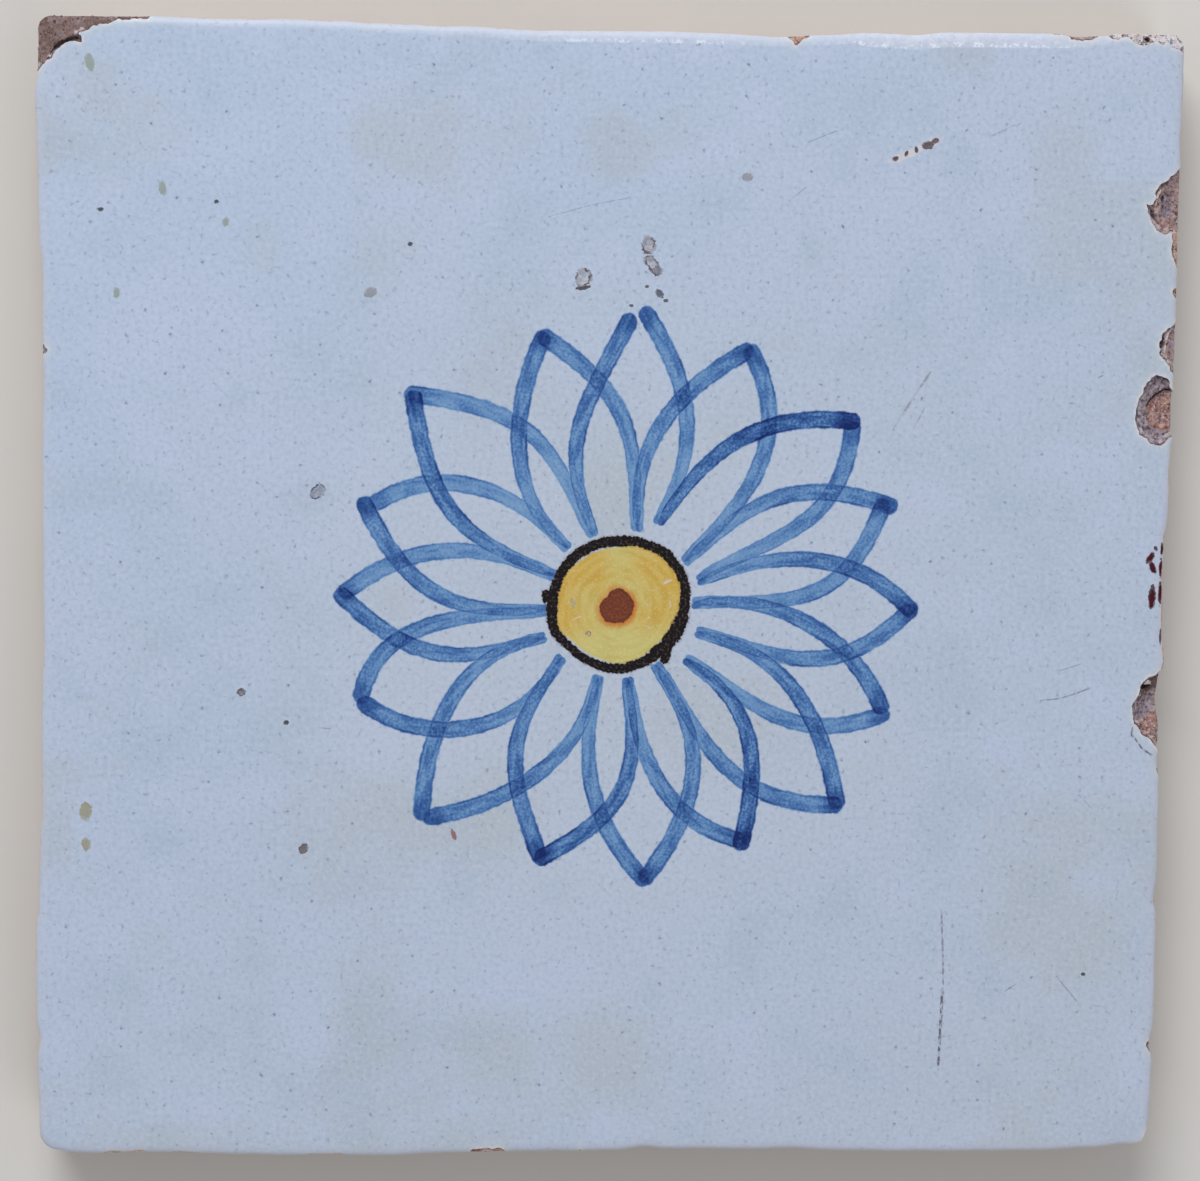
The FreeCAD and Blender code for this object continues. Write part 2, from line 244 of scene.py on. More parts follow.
# Blemishes of the glaze: x, y, half length, half width, turn in degrees, tint, share of the rim and height.
Mark = namedtuple("Mark", "x y long wide turn tint rim height")
GLAZE_MARKS = [Mark(*row) for row in (
    (4.65, 46.45, 1.15, 0.85, 78, "pop", 0.85, -0.12), (5.1, 44.1, 1.2, 0.75, 128, "pop", 0.9, -0.12),
    (5.7, 43.3, 0.85, 0.62, 128, "bark", 0.56, -0.06), (4.5, 41.1, 0.26, 0.2, 0, "soot", 0.2, -0.02),
    (6.2, 40.2, 0.62, 0.42, 130, "soot", 0.3, -0.06), (7.0, 39.3, 0.3, 0.25, 0, "soot", 0.2, -0.02),
    (2.5, 38.6, 0.3, 0.18, 0, "soot", 0.2, -0.02), (-3.8, 42.1, 1.25, 0.98, 70, "pop", 1.25, -0.1),
    (-3.85, 40.85, 0.95, 0.28, 12, "bark", 0.0, -0.02), (-38.2, 13.9, 1.15, 0.8, 55, "smudge", 0.9, -0.06),
    (-31.5, 39.8, 0.8, 0.6, 30, "dust", 0.3, 0.05), (17.4, 55.5, 0.7, 0.5, 0, "dust", 0.4, 0.04),
    (-67.6, 68.8, 1.15, 0.55, 100, "drip", 0.1, 0.05), (-58.3, 52.9, 0.9, 0.45, 95, "drip", 0.1, 0.04),
    (-64.2, 39.4, 0.7, 0.4, 90, "drip", 0.1, 0.03), (-50.2, 48.7, 0.6, 0.4, 80, "drip", 0.1, 0.03),
    (-68.2, -28.3, 1.1, 0.8, 85, "ochre", 0.2, 0.03), (-68.2, -32.7, 0.8, 0.6, 90, "ochre", 0.2, 0.03),
    (-48, -12.5, 0.55, 0.5, 0, "pop", 0.5, -0.15), (-39.8, -33.3, 0.75, 0.55, 60, "pop", 0.3, -0.08),
    (-20, -31.4, 0.75, 0.3, 110, "rust", 0.1, 0.03), (72.7, 0.8, 1.6, 0.5, 88, "wine", -0.3, 0.04),
    (72.67, 4.75, 0.85, 0.4, 117, "wine", -0.3, 0.03), (72.3, 6.0, 0.8, 0.4, 57, "wine", -0.3, 0.02),
    (73.0, 7.3, 0.36, 0.24, 120, "wine", 0.0, 0.02),
    (73.9, 7.2, 0.9, 0.22, 90, "wine", -0.3, 0.01), (73.85, 4.6, 1.3, 0.3, 90, "wine", -0.3, 0.01),
    (73.85, 1.3, 1.6, 0.32, 90, "wine", -0.3, 0.01), (74.05, -4.6, 1.1, 0.16, 90, "wine", 0.0, 0.01),
    (-66.2, 50.1, 0.35, 0.25, 0, "soot", 0.0, -0.02), (-51.4, 51.3, 0.3, 0.25, 0, "soot", 0.0, -0.02),
    (-26.4, 46.2, 0.3, 0.28, 0, "soot", 0.0, -0.02), (-42.1, -16.5, 0.35, 0.3, 0, "soot", 0.0, -0.02),
    (64.9, -50.3, 0.3, 0.25, 0, "soot", 0.0, -0.02), (36.9, 58.2, 0.42, 0.28, 20, "bark", 0.0, -0.03),
    (38.3, 58.9, 0.4, 0.22, 60, "bark", 0.0, -0.03), (39.6, 59.4, 0.42, 0.26, 100, "bark", 0.0, -0.03),
    (41.1, 60.0, 0.75, 0.5, 10, "bark", 0.1, -0.05), (42.1, 60.6, 0.5, 0.34, 30, "bark", 0.2, -0.03),
    (-2.5, -4.55, 0.4, 0.34, 30, "rust", 0.9, -0.05), (-4.6, -0.5, 0.6, 0.3, 100, "ochre", 0.9, -0.03),
)]
MARK_TINTS = {
    "pop": (84, 67, 62), "bark": (62, 42, 42), "soot": (48, 50, 56), "smudge": (46, 58, 84),
    "dust": (136, 138, 142), "drip": (144, 156, 146), "ochre": (150, 146, 116), "rust": (140, 88, 84),
    "wine": (66, 0, 14),
}
# Scratches: points of the line, half width, strength and share of brown dirt in it, where 2 makes the scratch
# pale instead.
SCRATCHES = (
    (((45.4, -41.5), (45.9, -52.4), (45.5, -63.4)), 0.15, 0.9, 0.3),
    (((45.8, -52), (45.5, -63)), 0.2, 1.3, 0.6),
    (((37.4, 22.7), (39.8, 26.7), (42.2, 30.4)), 0.2, 0.6, 0.9),
    (((40, 22.6), (41.6, 25.8)), 0.14, 0.5, 0.8),
    (((36.3, 57.9), (39.5, 59.3), (42.8, 60.9)), 0.62, 1.2, 2.0),
    (((-8.9, 49.8), (-3, 51.5), (2.2, 52.6)), 0.1, 0.5, 0.1), (((25, 60), (29.5, 61.8)), 0.1, 0.5, 0.1),
    (((22.5, 52), (25.3, 54.4)), 0.1, 0.5, 0.2), (((49.3, 61.2), (52.6, 62.8)), 0.1, 0.5, 0.1),
    (((54.1, -52.8), (56, -51.5)), 0.12, 0.6, 0.1), (((61.1, -50.4), (65.1, -55.2)), 0.12, 0.6, 0.1),
    (((-38.3, -17.2), (-36.3, -17.3)), 0.12, 0.7, 0.3), (((63.3, -25.6), (65.5, -27.9)), 0.1, 0.5, 0.1),
    (((58, -13.2), (61, -12.8), (65, -11.4)), 0.13, 0.8, 0.1), (((60.1, -9.3), (63.6, -8.2)), 0.11, 0.6, 0.1),
    (((64.3, 29.7), (65.4, 30.3)), 0.12, 0.8, 0.1), (((60.5, 26.4), (61.9, 26.5)), 0.12, 0.7, 0.1),
    (((70.7, -16.3), (70.5, -18), (71, -18.2), (71.9, -19.5), (73.5, -20.6)), 0.16, 1.2, 0.4),
    # Short pale scratches on the yellow heart: painted glints.
    (((7.2, 2.1), (7.9, 2.5), (8.4, 2.6)), 0.2, 0.9, 2.0),
    (((4.7, 0.1), (5.1, -0.6), (5.5, -0.95)), 0.1, 0.8, 2.0),
    (((5.0, -2.7), (5.4, -2.3), (5.9, -2.55)), 0.1, 0.8, 2.0),
    (((5.0, -3.6), (5.6, -3.5), (6, -3.9)), 0.09, 0.7, 2.0),
    (((-4.6, -2.8), (-4, -2.3), (-3.3, -2.3)), 0.12, 0.8, 2.0), (((8.1, 0.6), (8.3, -0.9)), 0.12, 0.7, 2.0),
)

# Cells of the floor along a side, the lamps' width and place in metres, and the camera's place in
# millimetres and turns in degrees.
FLOOR_CELLS = 60
LAMPS = {"Key": (0.7, (-0.25, 0.85, 0.75)), "Fill": (0.9, (0.5, -0.8, 0.9))}
CAMERA_PLACE = (-34.8, 47.4, 456.1)
CAMERA_TURNS = (-5.94, -4.32, 0.37)


def srgb(red, green, blue):
    """Linear colour of 0 to 255 screen values."""
    def linear(value):
        value /= 255
        return value / 12.92 if value <= 0.04045 else ((value + 0.055) / 1.055) ** 2.4
    return tuple(linear(value) for value in (red, green, blue))


def tint(*screen_values):
    """The same with full cover, for a colour socket."""
    return (*srgb(*screen_values), 1.0)


def length_property(name, description, millimetres):
    return bpy.props.FloatProperty(name=name, description=description, default=millimetres * MM,
                                   min=0.0, precision=5, subtype="DISTANCE", unit="LENGTH")


def colour_property(name, description, *screen_values):
    return bpy.props.FloatVectorProperty(name=name, description=description, default=srgb(*screen_values),
                                         min=0.0, max=1.0, size=3, subtype="COLOR")


class AzulejoShape(bpy.types.PropertyGroup):
    """Sizes of the glaze and the clay."""
    roll_width: length_property("Roll width", "Width of the glazed edge's round", 1.3)
    roll_drop: length_property("Roll drop", "Fall of the glazed edge's round", 0.5)
    bevel_width: length_property("Bevel width", "Width of the slow fall towards the edge", 4.2)
    bevel_drop: length_property("Bevel drop", "Height of the slow fall towards the edge", 0.1)
    corner_round: length_property("Corner round", "Round of the four corners seen from above", 1.7)
    worn_corner: length_property("Worn corner", "Wider round of the lower left corner", 2.6)
    glaze_thickness: length_property("Glaze thickness", "Glaze over the flat of the face", 0.45)
    lip_thickness: length_property("Lip thickness", "Glaze where it runs out at the edge", 0.12)
    face_wave: length_property("Face wave", "Height of the slow waves of the glazed face", 0.05)
    glaze_grid: length_property("Glaze grid", "Spacing of the points over the glazed face", 0.75)
    scar_grid: length_property("Scar grid", "Spacing of the points over the broken clay", 0.17)
    undercut: bpy.props.FloatProperty(name="Undercut", description="Lean of the sides under the face",
                                      default=math.radians(3), subtype="ANGLE", unit="ROTATION")
    back_round: length_property("Back round", "Worn round of the back's edge", 0.7)
    clay_grain: length_property("Clay grain", "Roughness of the broken clay", 0.16)


class AzulejoGrit(bpy.types.PropertyGroup):
    """Loose grit that stands out of the broken clay."""
    density: bpy.props.FloatProperty(name="Density", description="Grains for each square millimetre",
                                     default=6.0, min=0.0)
    smallest: length_property("Smallest grain", "Radius of the smallest grain", 0.05)
    largest: length_property("Largest grain", "Radius of the largest grain", 0.15)
    seed: bpy.props.IntProperty(name="Seed", description="Fixed seed of the scatter", default=7)


class AzulejoPaint(bpy.types.PropertyGroup):
    """Colours of the finished tile."""
    glaze: colour_property("Glaze", "Pale blue tin glaze", 180, 196, 219)
    wash: colour_property("Thin cobalt", "Cobalt where the brush ran dry", 100, 141, 190)
    cobalt: colour_property("Cobalt", "Cobalt of a full stroke", 77, 119, 175)
    deep: colour_property("Deep cobalt", "Cobalt where strokes cross", 52, 92, 153)
    pool: colour_property("Pooled cobalt", "Cobalt at a stroke's ends", 32, 66, 130)
    navy: colour_property("Darkest cobalt", "Cobalt of the blobs at the petals' tips", 10, 36, 100)
    yellow: colour_property("Yellow", "Greenish yellow of the heart", 198, 187, 114)
    orange: colour_property("Orange tint", "Warmer yellow where the heart is thick", 200, 164, 72)
    brown: colour_property("Brown", "Red brown dot of the heart", 108, 52, 36)
    ring: colour_property("Ring", "Brown black of the ring", 8, 3, 5)
    clay: colour_property("Clay", "Fired clay of the sides and back", 182, 152, 136)
    core: colour_property("Core", "Red clay deep in a chip", 152, 114, 108)
    char: colour_property("Char", "Lilac grey clay close under the glaze", 140, 129, 142)
    tip_width: length_property("Tip width", "Width of a stroke at the petal's tip", 2.5)
    middle_width: length_property("Middle width", "Width of a stroke half way", 2.35)
    root_width: length_property("Root width", "Width of a stroke at the heart", 1.5)


class AzulejoStage(bpy.types.PropertyGroup):
    """Floor, light and camera."""
    floor: colour_property("Floor", "Pale floor", 214, 212, 208)
    floor_side: bpy.props.FloatProperty(name="Floor side", description="Side of the square floor",
                                        default=3.0, subtype="DISTANCE", unit="LENGTH")
    key_power: bpy.props.FloatProperty(name="Key power", description="Large lamp behind the tile's top edge",
                                       default=9.6, subtype="POWER", unit="POWER")
    fill_power: bpy.props.FloatProperty(name="Fill power", description="Lamp that opens the shadows",
                                        default=2.7, subtype="POWER", unit="POWER")
    sky: bpy.props.FloatProperty(name="Sky", description="Strength of the even light all round", default=0.39)
    lens_angle: bpy.props.FloatProperty(name="Lens angle", description="Camera's angle of view across",
                                        default=math.radians(20), subtype="ANGLE", unit="ROTATION")


def smooth(value, low=0.0, high=1.0):
    share = np.clip((value - low) / (high - low), 0, 1)
    return share * share * (3 - 2 * share)


def along_rows(rows, places):
    """Value at each place, eased from row to row."""
    at = np.array([row[0] for row in rows], float)
    values = np.array([row[1] for row in rows], float)
    left = np.clip(np.searchsorted(at, places) - 1, 0, len(at) - 2)
    share = smooth((places - at[left]) / (at[left + 1] - at[left]))
    return values[left] + share * (values[left + 1] - values[left])


def round_values(values, angles):
    """Value at each angle, eased round a closed circle of evenly spaced values."""
    turns = np.mod(angles / math.tau, 1.0) * len(values)
    left = np.floor(turns).astype(int) % len(values)
    values = np.asarray(values)
    return values[left] + smooth(turns - np.floor(turns)) * (values[(left + 1) % len(values)] - values[left])


def lattice_noise(points, wavelength, seed):
    """Smooth noise from -1 to 1 over a lattice of hashed values."""
    scaled = points / wavelength + 4096.0
    cell = np.floor(scaled).astype(np.int64)
    blend = smooth(scaled - cell)
    primes = np.array(PRIMES, np.int64)[:points.shape[1]]
    total = np.zeros(len(points))
    for corner in itertools.product((0, 1), repeat=points.shape[1]):
        key = (((cell + corner) * primes).sum(axis=1) + seed * SEED_FACTOR) & LOW_BITS
        for shift, factor in MIXERS:
            key = ((key ^ (key >> shift)) * factor) & LOW_BITS
        weight = np.prod(np.where(corner, blend, 1 - blend), axis=1)
        total += weight * (key / 2.0 ** 31 - 1)
    return total


def rough(points, wavelength, seed, octaves=3):
    """Layered noise whose finer layers are weaker."""
    total = np.zeros(len(points))
    for octave in range(octaves):
        total += lattice_noise(points, wavelength / 2 ** octave, seed + octave) / 2 ** octave
    return total / 1.6


def round_curve(points, step, closed=True):
    """Evenly stepped curve through given points."""
    knots = np.array(points, float)
    count = len(knots)
    pieces = []
    for k in range(count if closed else count - 1):
        if closed:
            a, b, c, d = (knots[(k + j) % count] for j in (-1, 0, 1, 2))
        else:
            a, b, c, d = (knots[min(max(k + j, 0), count - 1)] for j in (-1, 0, 1, 2))
        steps = max(2, int(np.linalg.norm(c - b) / step))
        t = np.linspace(0, 1, steps, endpoint=False)[:, None]
        pieces.append(0.5 * (2 * b + (c - a) * t + (2 * a - 5 * b + 4 * c - d) * t ** 2
                             + (3 * b - a - 3 * c + d) * t ** 3))
    if not closed:
        pieces.append(knots[-1:])
    return np.vstack(pieces)


def to_segments(points, path, closed=True):
    """Distance of each point from a path."""
    ends = np.roll(path, -1, axis=0) if closed else path[1:]
    starts = path if closed else path[:-1]
    best = np.full(len(points), FAR)
    for start, end in zip(starts, ends):
        run = end - start
        share = np.clip((points - start) @ run / max(run @ run, 1e-12), 0, 1)
        best = np.minimum(best, np.linalg.norm(points - start - share[:, None] * run, axis=1))
    return best


def near_loop(points, loop, margin=0.0):
    """Numbers of the points in a loop's box, widened by a margin."""
    low, high = loop.min(axis=0) - margin, loop.max(axis=0) + margin
    return np.flatnonzero(((points > low) & (points < high)).all(axis=1))


def inside(points, loop):
    """Whether each point lies inside a closed loop."""
    crossings = np.zeros(len(points), int)
    for (x0, y0), (x1, y1) in zip(loop, np.roll(loop, -1, axis=0)):
        spans = (y0 > points[:, 1]) != (y1 > points[:, 1])
        if spans.any():
            cut = x0 + (points[:, 1] - y0) * (x1 - x0) / (y1 - y0 if y1 != y0 else 1e-9)
            crossings += spans & (points[:, 0] < cut)
    return crossings % 2 == 1


class Outline:
    """The worn square, its glaze line and its chips, with the height of every surface on it."""

    def __init__(self, shape):
        self.roll = shape.roll_width / MM
        self.drop = shape.roll_drop / MM
        self.bevel = shape.bevel_width / MM
        self.bevel_drop = shape.bevel_drop / MM
        self.corner = shape.corner_round / MM
        self.worn_corner = shape.worn_corner / MM
        self.thickness = shape.glaze_thickness / MM
        self.lip = shape.lip_thickness / MM
        self.wave = shape.face_wave / MM
        self.grain = shape.clay_grain / MM
        self.scar_step = shape.scar_grid / MM
        self.chips = {name: self.ragged(points, k) for k, (name, (*_, points)) in enumerate(CHIPS.items())}
        self.hollows = {name: round_curve(points, 0.2) for name, (*_, points) in HOLLOWS.items()}

    def ragged(self, points, seed):
        """Chip outline with the small steps of broken glaze."""
        loop = round_curve(points, 0.16)
        tangent = np.roll(loop, -1, axis=0) - np.roll(loop, 1, axis=0)
        tangent /= np.linalg.norm(tangent, axis=1)[:, None]
        normal = np.stack((tangent[:, 1], -tangent[:, 0]), axis=1)
        steps = 0.17 * lattice_noise(loop, 0.8, seed) + 0.11 * lattice_noise(loop, 0.34, seed)
        return loop + normal * steps[:, None]

    def inset(self, side, places, short=False):
        """How far the silhouette, or the glaze line, lies inside the square at places along a side."""
        sampled = np.clip(places, -LAST_WEAR, LAST_WEAR)
        wear = along_rows(EDGE_WEAR[side], sampled)
        spot = np.stack((sampled, np.full_like(sampled, 7.0 * list(SIDES).index(side))), axis=1)
        wear = wear + 0.05 * lattice_noise(spot, 3.1, 3) + 0.03 * lattice_noise(spot, 0.9, 5) + 0.03
        if short:
            gap = along_rows(GLAZE_SHORT[side], sampled) * (1 + 0.9 * lattice_noise(spot, 1.7, 8))
            return np.maximum(wear, 0.03) + np.maximum(gap, 0.012)
        return np.maximum(wear, 0.03)

    def depth_inside(self, points, short=False):
        """Distance of each point inside the silhouette, or inside the glaze line."""
        right = HALF_SIDE - points[:, 0] - self.inset("right", points[:, 1], short)
        left = HALF_SIDE + points[:, 0] - self.inset("left", points[:, 1], short)
        top = HALF_SIDE - points[:, 1] - self.inset("top", points[:, 0], short)
        bottom = HALF_SIDE + points[:, 1] - self.inset("bottom", points[:, 0], short)
        across = np.minimum(right, left)
        along = np.minimum(top, bottom)
        corner = np.where((points < 0).all(axis=1), self.worn_corner, self.corner)
        rounded = corner - np.hypot(np.maximum(corner - across, 0), np.maximum(corner - along, 0))
        return np.where((across < corner) & (along < corner), rounded, np.minimum(across, along))

    def round_between(self, one, other):
        """Radius of the corner between two sides."""
        return self.worn_corner if {one, other} == {"left", "bottom"} else self.corner

    def loop(self, inwards=0.0, step=0.3, short=False):
        """The silhouette or glaze line, moved inwards, counter-clockwise from the right side's foot."""
        walk = ("right", "top", "left", "bottom")
        pieces = []
        for k, side in enumerate(walk):
            out = np.array(SIDES[side], float)
            run = np.array((-out[1], out[0]))
            forward = int(run.sum())
            before, after = walk[k - 1], walk[(k + 1) % 4]
            # A side ends where the arcs of its two corners begin.
            end = np.array([out.sum() * HALF_SIDE])
            first = HALF_SIDE - self.round_between(before, side) - self.inset(before, end, short)[0]
            last = HALF_SIDE - self.round_between(side, after) - self.inset(after, end, short)[0]
            places = np.linspace(-first, last, int((first + last) / step))
            reach = HALF_SIDE - inwards - self.inset(side, places * forward, short)
            pieces.append(reach[:, None] * out + places[:, None] * run)
            here = HALF_SIDE - self.round_between(side, after)
            here -= self.inset(side, np.array([forward * HALF_SIDE]), short)[0]
            corner = max(self.round_between(side, after) - inwards, 0.05)
            arc = np.linspace(0, math.pi / 2, max(4, int(math.pi / 2 * corner / step)) + 2)[1:-1]
            turn = out * np.cos(arc)[:, None] + run * np.sin(arc)[:, None]
            pieces.append(here * out + last * run + corner * turn)
        return np.vstack(pieces)

    def inwards(self, points):
        """Unit direction from the silhouette into the tile, turned evenly round the corners."""
        over = np.maximum(np.abs(points) - (HALF_SIDE - 5), 0) * -np.sign(points)
        return over / np.maximum(np.linalg.norm(over, axis=1), 1e-6)[:, None]

    def face(self, points, depth=None):
        """Height of the glazed face, which rolls down to the silhouette."""
        if depth is None:
            depth = self.depth_inside(points)
        steep = np.clip(1 - depth / self.roll, 0, 1)
        drop = self.drop * (1 - np.sqrt(np.maximum(1 - steep ** 2, 0)))
        drop += self.bevel_drop * np.clip(1 - depth / self.bevel, 0, 1) ** 2
        waves = rough(points, 24.0, 11) * self.wave + lattice_noise(points, 2.6, 14) * 0.007
        height = FACE_HEIGHT - self.wave - 0.04 + waves - drop + mark_relief(points)
        return np.minimum(height, FACE_HEIGHT - 0.003)

    def under_glaze(self, points, depth=None):
        """Thickness of the glaze, which runs thin at the edge."""
        if depth is None:
            depth = self.depth_inside(points)
        return self.lip + (self.thickness - self.lip) * smooth(depth, 0.0, 2.2)


def mark_frame(points, mark):
    """Share of a mark's half length and half width at each point."""
    turn = math.radians(mark.turn)
    away = points - (mark.x, mark.y)
    along = away @ (math.cos(turn), math.sin(turn)) / mark.long
    across = away @ (-math.sin(turn), math.cos(turn)) / mark.wide
    return np.hypot(along, across)


def mark_relief(points):
    """Height that blisters, pits and drips add to the face."""
    relief = np.zeros(len(points))
    for mark in GLAZE_MARKS:
        near = np.linalg.norm(points - (mark.x, mark.y), axis=1) < 2.2 * mark.long
        if mark.height and near.any():
            share = mark_frame(points[near], mark)
            bank = 0.35 * abs(mark.height) * smooth(share, 0.6, 1.0) * (1 - smooth(share, 1.0, 1.7))
            relief[near] += mark.height * (1 - smooth(share, 0.2, 1.0)) + bank
    return relief


def bezier(tip, first, second, root, steps=60):
    t = np.linspace(0, 1, steps)[:, None]
    points = [np.array(point, float) for point in (tip, first, second, root)]
    weights = ((1 - t) ** 3, 3 * (1 - t) ** 2 * t, 3 * (1 - t) * t ** 2, t ** 3)
    return sum(weight * point for weight, point in zip(weights, points))


def strokes(paint):
    """The two layers of petal strokes, each stroke as its path, half widths, ink load and seed."""
    widths = (paint.tip_width, paint.middle_width, paint.root_width)
    widths = np.interp((0, 1, 2, 3, 4), (0, 2, 4), widths) / 2 / MM
    layers = ([], [])
    for k, row in enumerate(PETALS):
        for layer, (tip, first, second, load), root in ((0, row[4:], ROOTS[k]), (1, row[:4], ROOTS[k - 2])):
            outwards = np.array(root) - HEART
            outwards /= np.linalg.norm(outwards)
            aside = np.array((-outwards[1], outwards[0])) * (ROOT_ASIDE if layer else -ROOT_ASIDE)
            path = bezier(tip, first, second, np.array(root) + aside)
            layers[layer].append((path, widths, load, k + 0.5 * layer))
    return layers


def brush_frame(points, path, half_widths):
    """For each point its way along a path, its offset and overrun as shares of the half width, the way
    left to the path's end and its gap from the path."""
    runs = np.diff(path, axis=0)
    lengths = np.linalg.norm(runs, axis=1)
    reach = np.r_[0, np.cumsum(lengths)]
    offset = points[:, None] - path[None, :-1]
    raw = (offset * runs).sum(axis=2) / lengths ** 2
    share = np.clip(raw, 0, 1)
    gap = np.linalg.norm(offset - share[..., None] * runs, axis=2)
    nearest = gap.argmin(axis=1)
    pick = np.arange(len(points)), nearest
    along = reach[nearest] + share[pick] * lengths[nearest]
    run = runs[nearest] / lengths[nearest, None]
    side = run[:, 0] * offset[pick][:, 1] - run[:, 1] * offset[pick][:, 0]
    over = np.where(nearest == 0, np.maximum(-raw[pick], 0), 0)
    over = over + np.where(nearest == len(runs) - 1, np.maximum(raw[pick] - 1, 0), 0)
    over = over * lengths[nearest]
    half = np.interp(along / reach[-1], np.linspace(0, 1, len(half_widths)), half_widths)
    return along, side / half, over / half, reach[-1] - along, gap[pick] / half


def loop_area(loop):
    x, y = loop[:, 0], loop[:, 1]
    return float(np.sum(x * np.roll(y, -1) - y * np.roll(x, -1))) / 2


def triangulate(points, loops, keep):
    """Corners, triangles and each corner's place in the loops, kept where keep takes the loops around."""
    flat = [Vector(point) for point in points]
    constraints = []
    for loop in loops:
        numbers = list(range(len(flat), len(flat) + len(loop)))
        constraints.append(numbers if loop_area(loop) > 0 else numbers[::-1])
        flat += [Vector(point) for point in loop]
    corners, _, faces, sources, _, owners = delaunay_2d_cdt(flat, [], constraints, 1, 1e-5, True)
    kept = np.array([face for face, owner in zip(faces, owners) if keep(set(owner))])
    used, numbers = np.unique(kept, return_inverse=True)
    corners = np.array([tuple(corner) for corner in corners])[used]
    places = np.array([max(sources[k], default=-1) - len(points) for k in used])
    return corners, numbers.reshape(kept.shape), places


def rim_loops(faces):
    """Closed chains of the edges that only one triangle has, with the triangles on their left."""
    edges = {}
    for a, b, c in faces.tolist():
        for start, end in ((a, b), (b, c), (c, a)):
            edges[start, end] = True
    following = {}
    for start, end in edges:
        if (end, start) not in edges:
            following.setdefault(start, []).append(end)
    loops = []
    while following:
        start = next(iter(following))
        chain = [start]
        while True:
            ends = following[chain[-1]]
            following_point = ends.pop()
            if not ends:
                del following[chain[-1]]
            if following_point == start:
                break
            chain.append(following_point)
        loops.append(np.array(chain))
    return loops


def grid_points(half, step, seed):
    """Staggered grid with a little disorder."""
    rows = np.arange(-half, half, step * math.sqrt(3) / 2)
    columns = np.arange(-half, half, step)
    x, y = np.meshgrid(columns, rows)
    x = x + step / 2 * (np.arange(len(rows)) % 2)[:, None]
    points = np.stack((x.ravel(), y.ravel()), axis=1)
    disorder = np.random.default_rng(seed).uniform(-0.18, 0.18, points.shape)
    return points + disorder * step


def face_points(outline, step):
    """Points of the glazed face: an even field, rows along the roll and more round chips and marks."""
    field = grid_points(HALF_SIDE, step, 1)
    near_rows = [outline.loop(inwards, ROW_STEP, short=True) for inwards in GLAZE_ROWS]
    extra = []
    for mark in GLAZE_MARKS:
        if mark.height:
            around = np.linspace(0, math.tau, 14, endpoint=False)
            turn = math.radians(mark.turn)
            ring = np.stack((np.cos(around) * mark.long, np.sin(around) * mark.wide), axis=1)
            ring = ring @ np.array(((math.cos(turn), math.sin(turn)), (-math.sin(turn), math.cos(turn))))
            extra += [ring * share + (mark.x, mark.y) for share in (0.35, 0.65, 0.9, 1.1, 1.4)]
    fine = grid_points(HALF_SIDE, 0.3, 2)
    close = np.zeros(len(fine), bool)
    for loop in outline.chips.values():
        boxed = near_loop(fine, loop, 1.0)
        close[boxed[to_segments(fine[boxed], loop) < 0.9]] = True
    close &= outline.depth_inside(fine, short=True) > 0.3
    field = field[outline.depth_inside(field, short=True) > 1.6]
    return np.vstack([field, *near_rows, *extra, fine[close]])


def off_chips(points, outline, gap=0.06):
    """The points that lie clear of every chip's outline."""
    keep = np.ones(len(points), bool)
    for loop in outline.chips.values():
        boxed = near_loop(points, loop, 0.5)
        keep[boxed[inside(points[boxed], loop) | (to_segments(points[boxed], loop) < gap)]] = False
    return points[keep]


def new_piece(name, corners, faces, material):
    """Mesh object at the origin from corners in millimetres."""
    mesh = bpy.data.meshes.new(name)
    mesh.from_pydata((corners * MM).tolist(), [], faces)
    if mesh.validate():
        raise RuntimeError(f"{name} has faces that aren't sound")
    mesh.polygons.foreach_set("use_smooth", np.ones(len(mesh.polygons), bool))
    mesh.set_sharp_from_angle(angle=CREASE)
    mesh.materials.append(material)
    piece = bpy.data.objects.new(name, mesh)
    bpy.context.scene.collection.objects.link(piece)
    return piece


def face_corners(mesh):
    """Places of the vertices and of each face's corners in millimetres, and where each face's corners start
    and how many it has."""
    corner_of = np.empty(len(mesh.loops), np.int32)
    mesh.loops.foreach_get("vertex_index", corner_of)
    places = np.empty(len(mesh.vertices) * 3)
    mesh.vertices.foreach_get("co", places)
    places = places.reshape(-1, 3) / MM
    starts = np.empty(len(mesh.polygons), np.int32)
    mesh.polygons.foreach_get("loop_start", starts)
    sizes = np.empty(len(mesh.polygons), np.int32)
    mesh.polygons.foreach_get("loop_total", sizes)
    return places, places[corner_of], starts, sizes


def put_layout(mesh, u, v):
    """Texture layout of the piece, named OFBake."""
    layer = mesh.uv_layers.new(name="OFBake")
    layer.data.foreach_set("uv", np.stack((u, v), axis=1).astype(np.float32).ravel())


def put_attribute(mesh, name, values, domain="CORNER"):
    values = np.asarray(values, np.float32)
    kind = "FLOAT" if values.ndim == 1 else "FLOAT_VECTOR"
    layer = mesh.attributes.new(name, kind, domain)
    layer.data.foreach_set("value" if values.ndim == 1 else "vector", values.ravel())


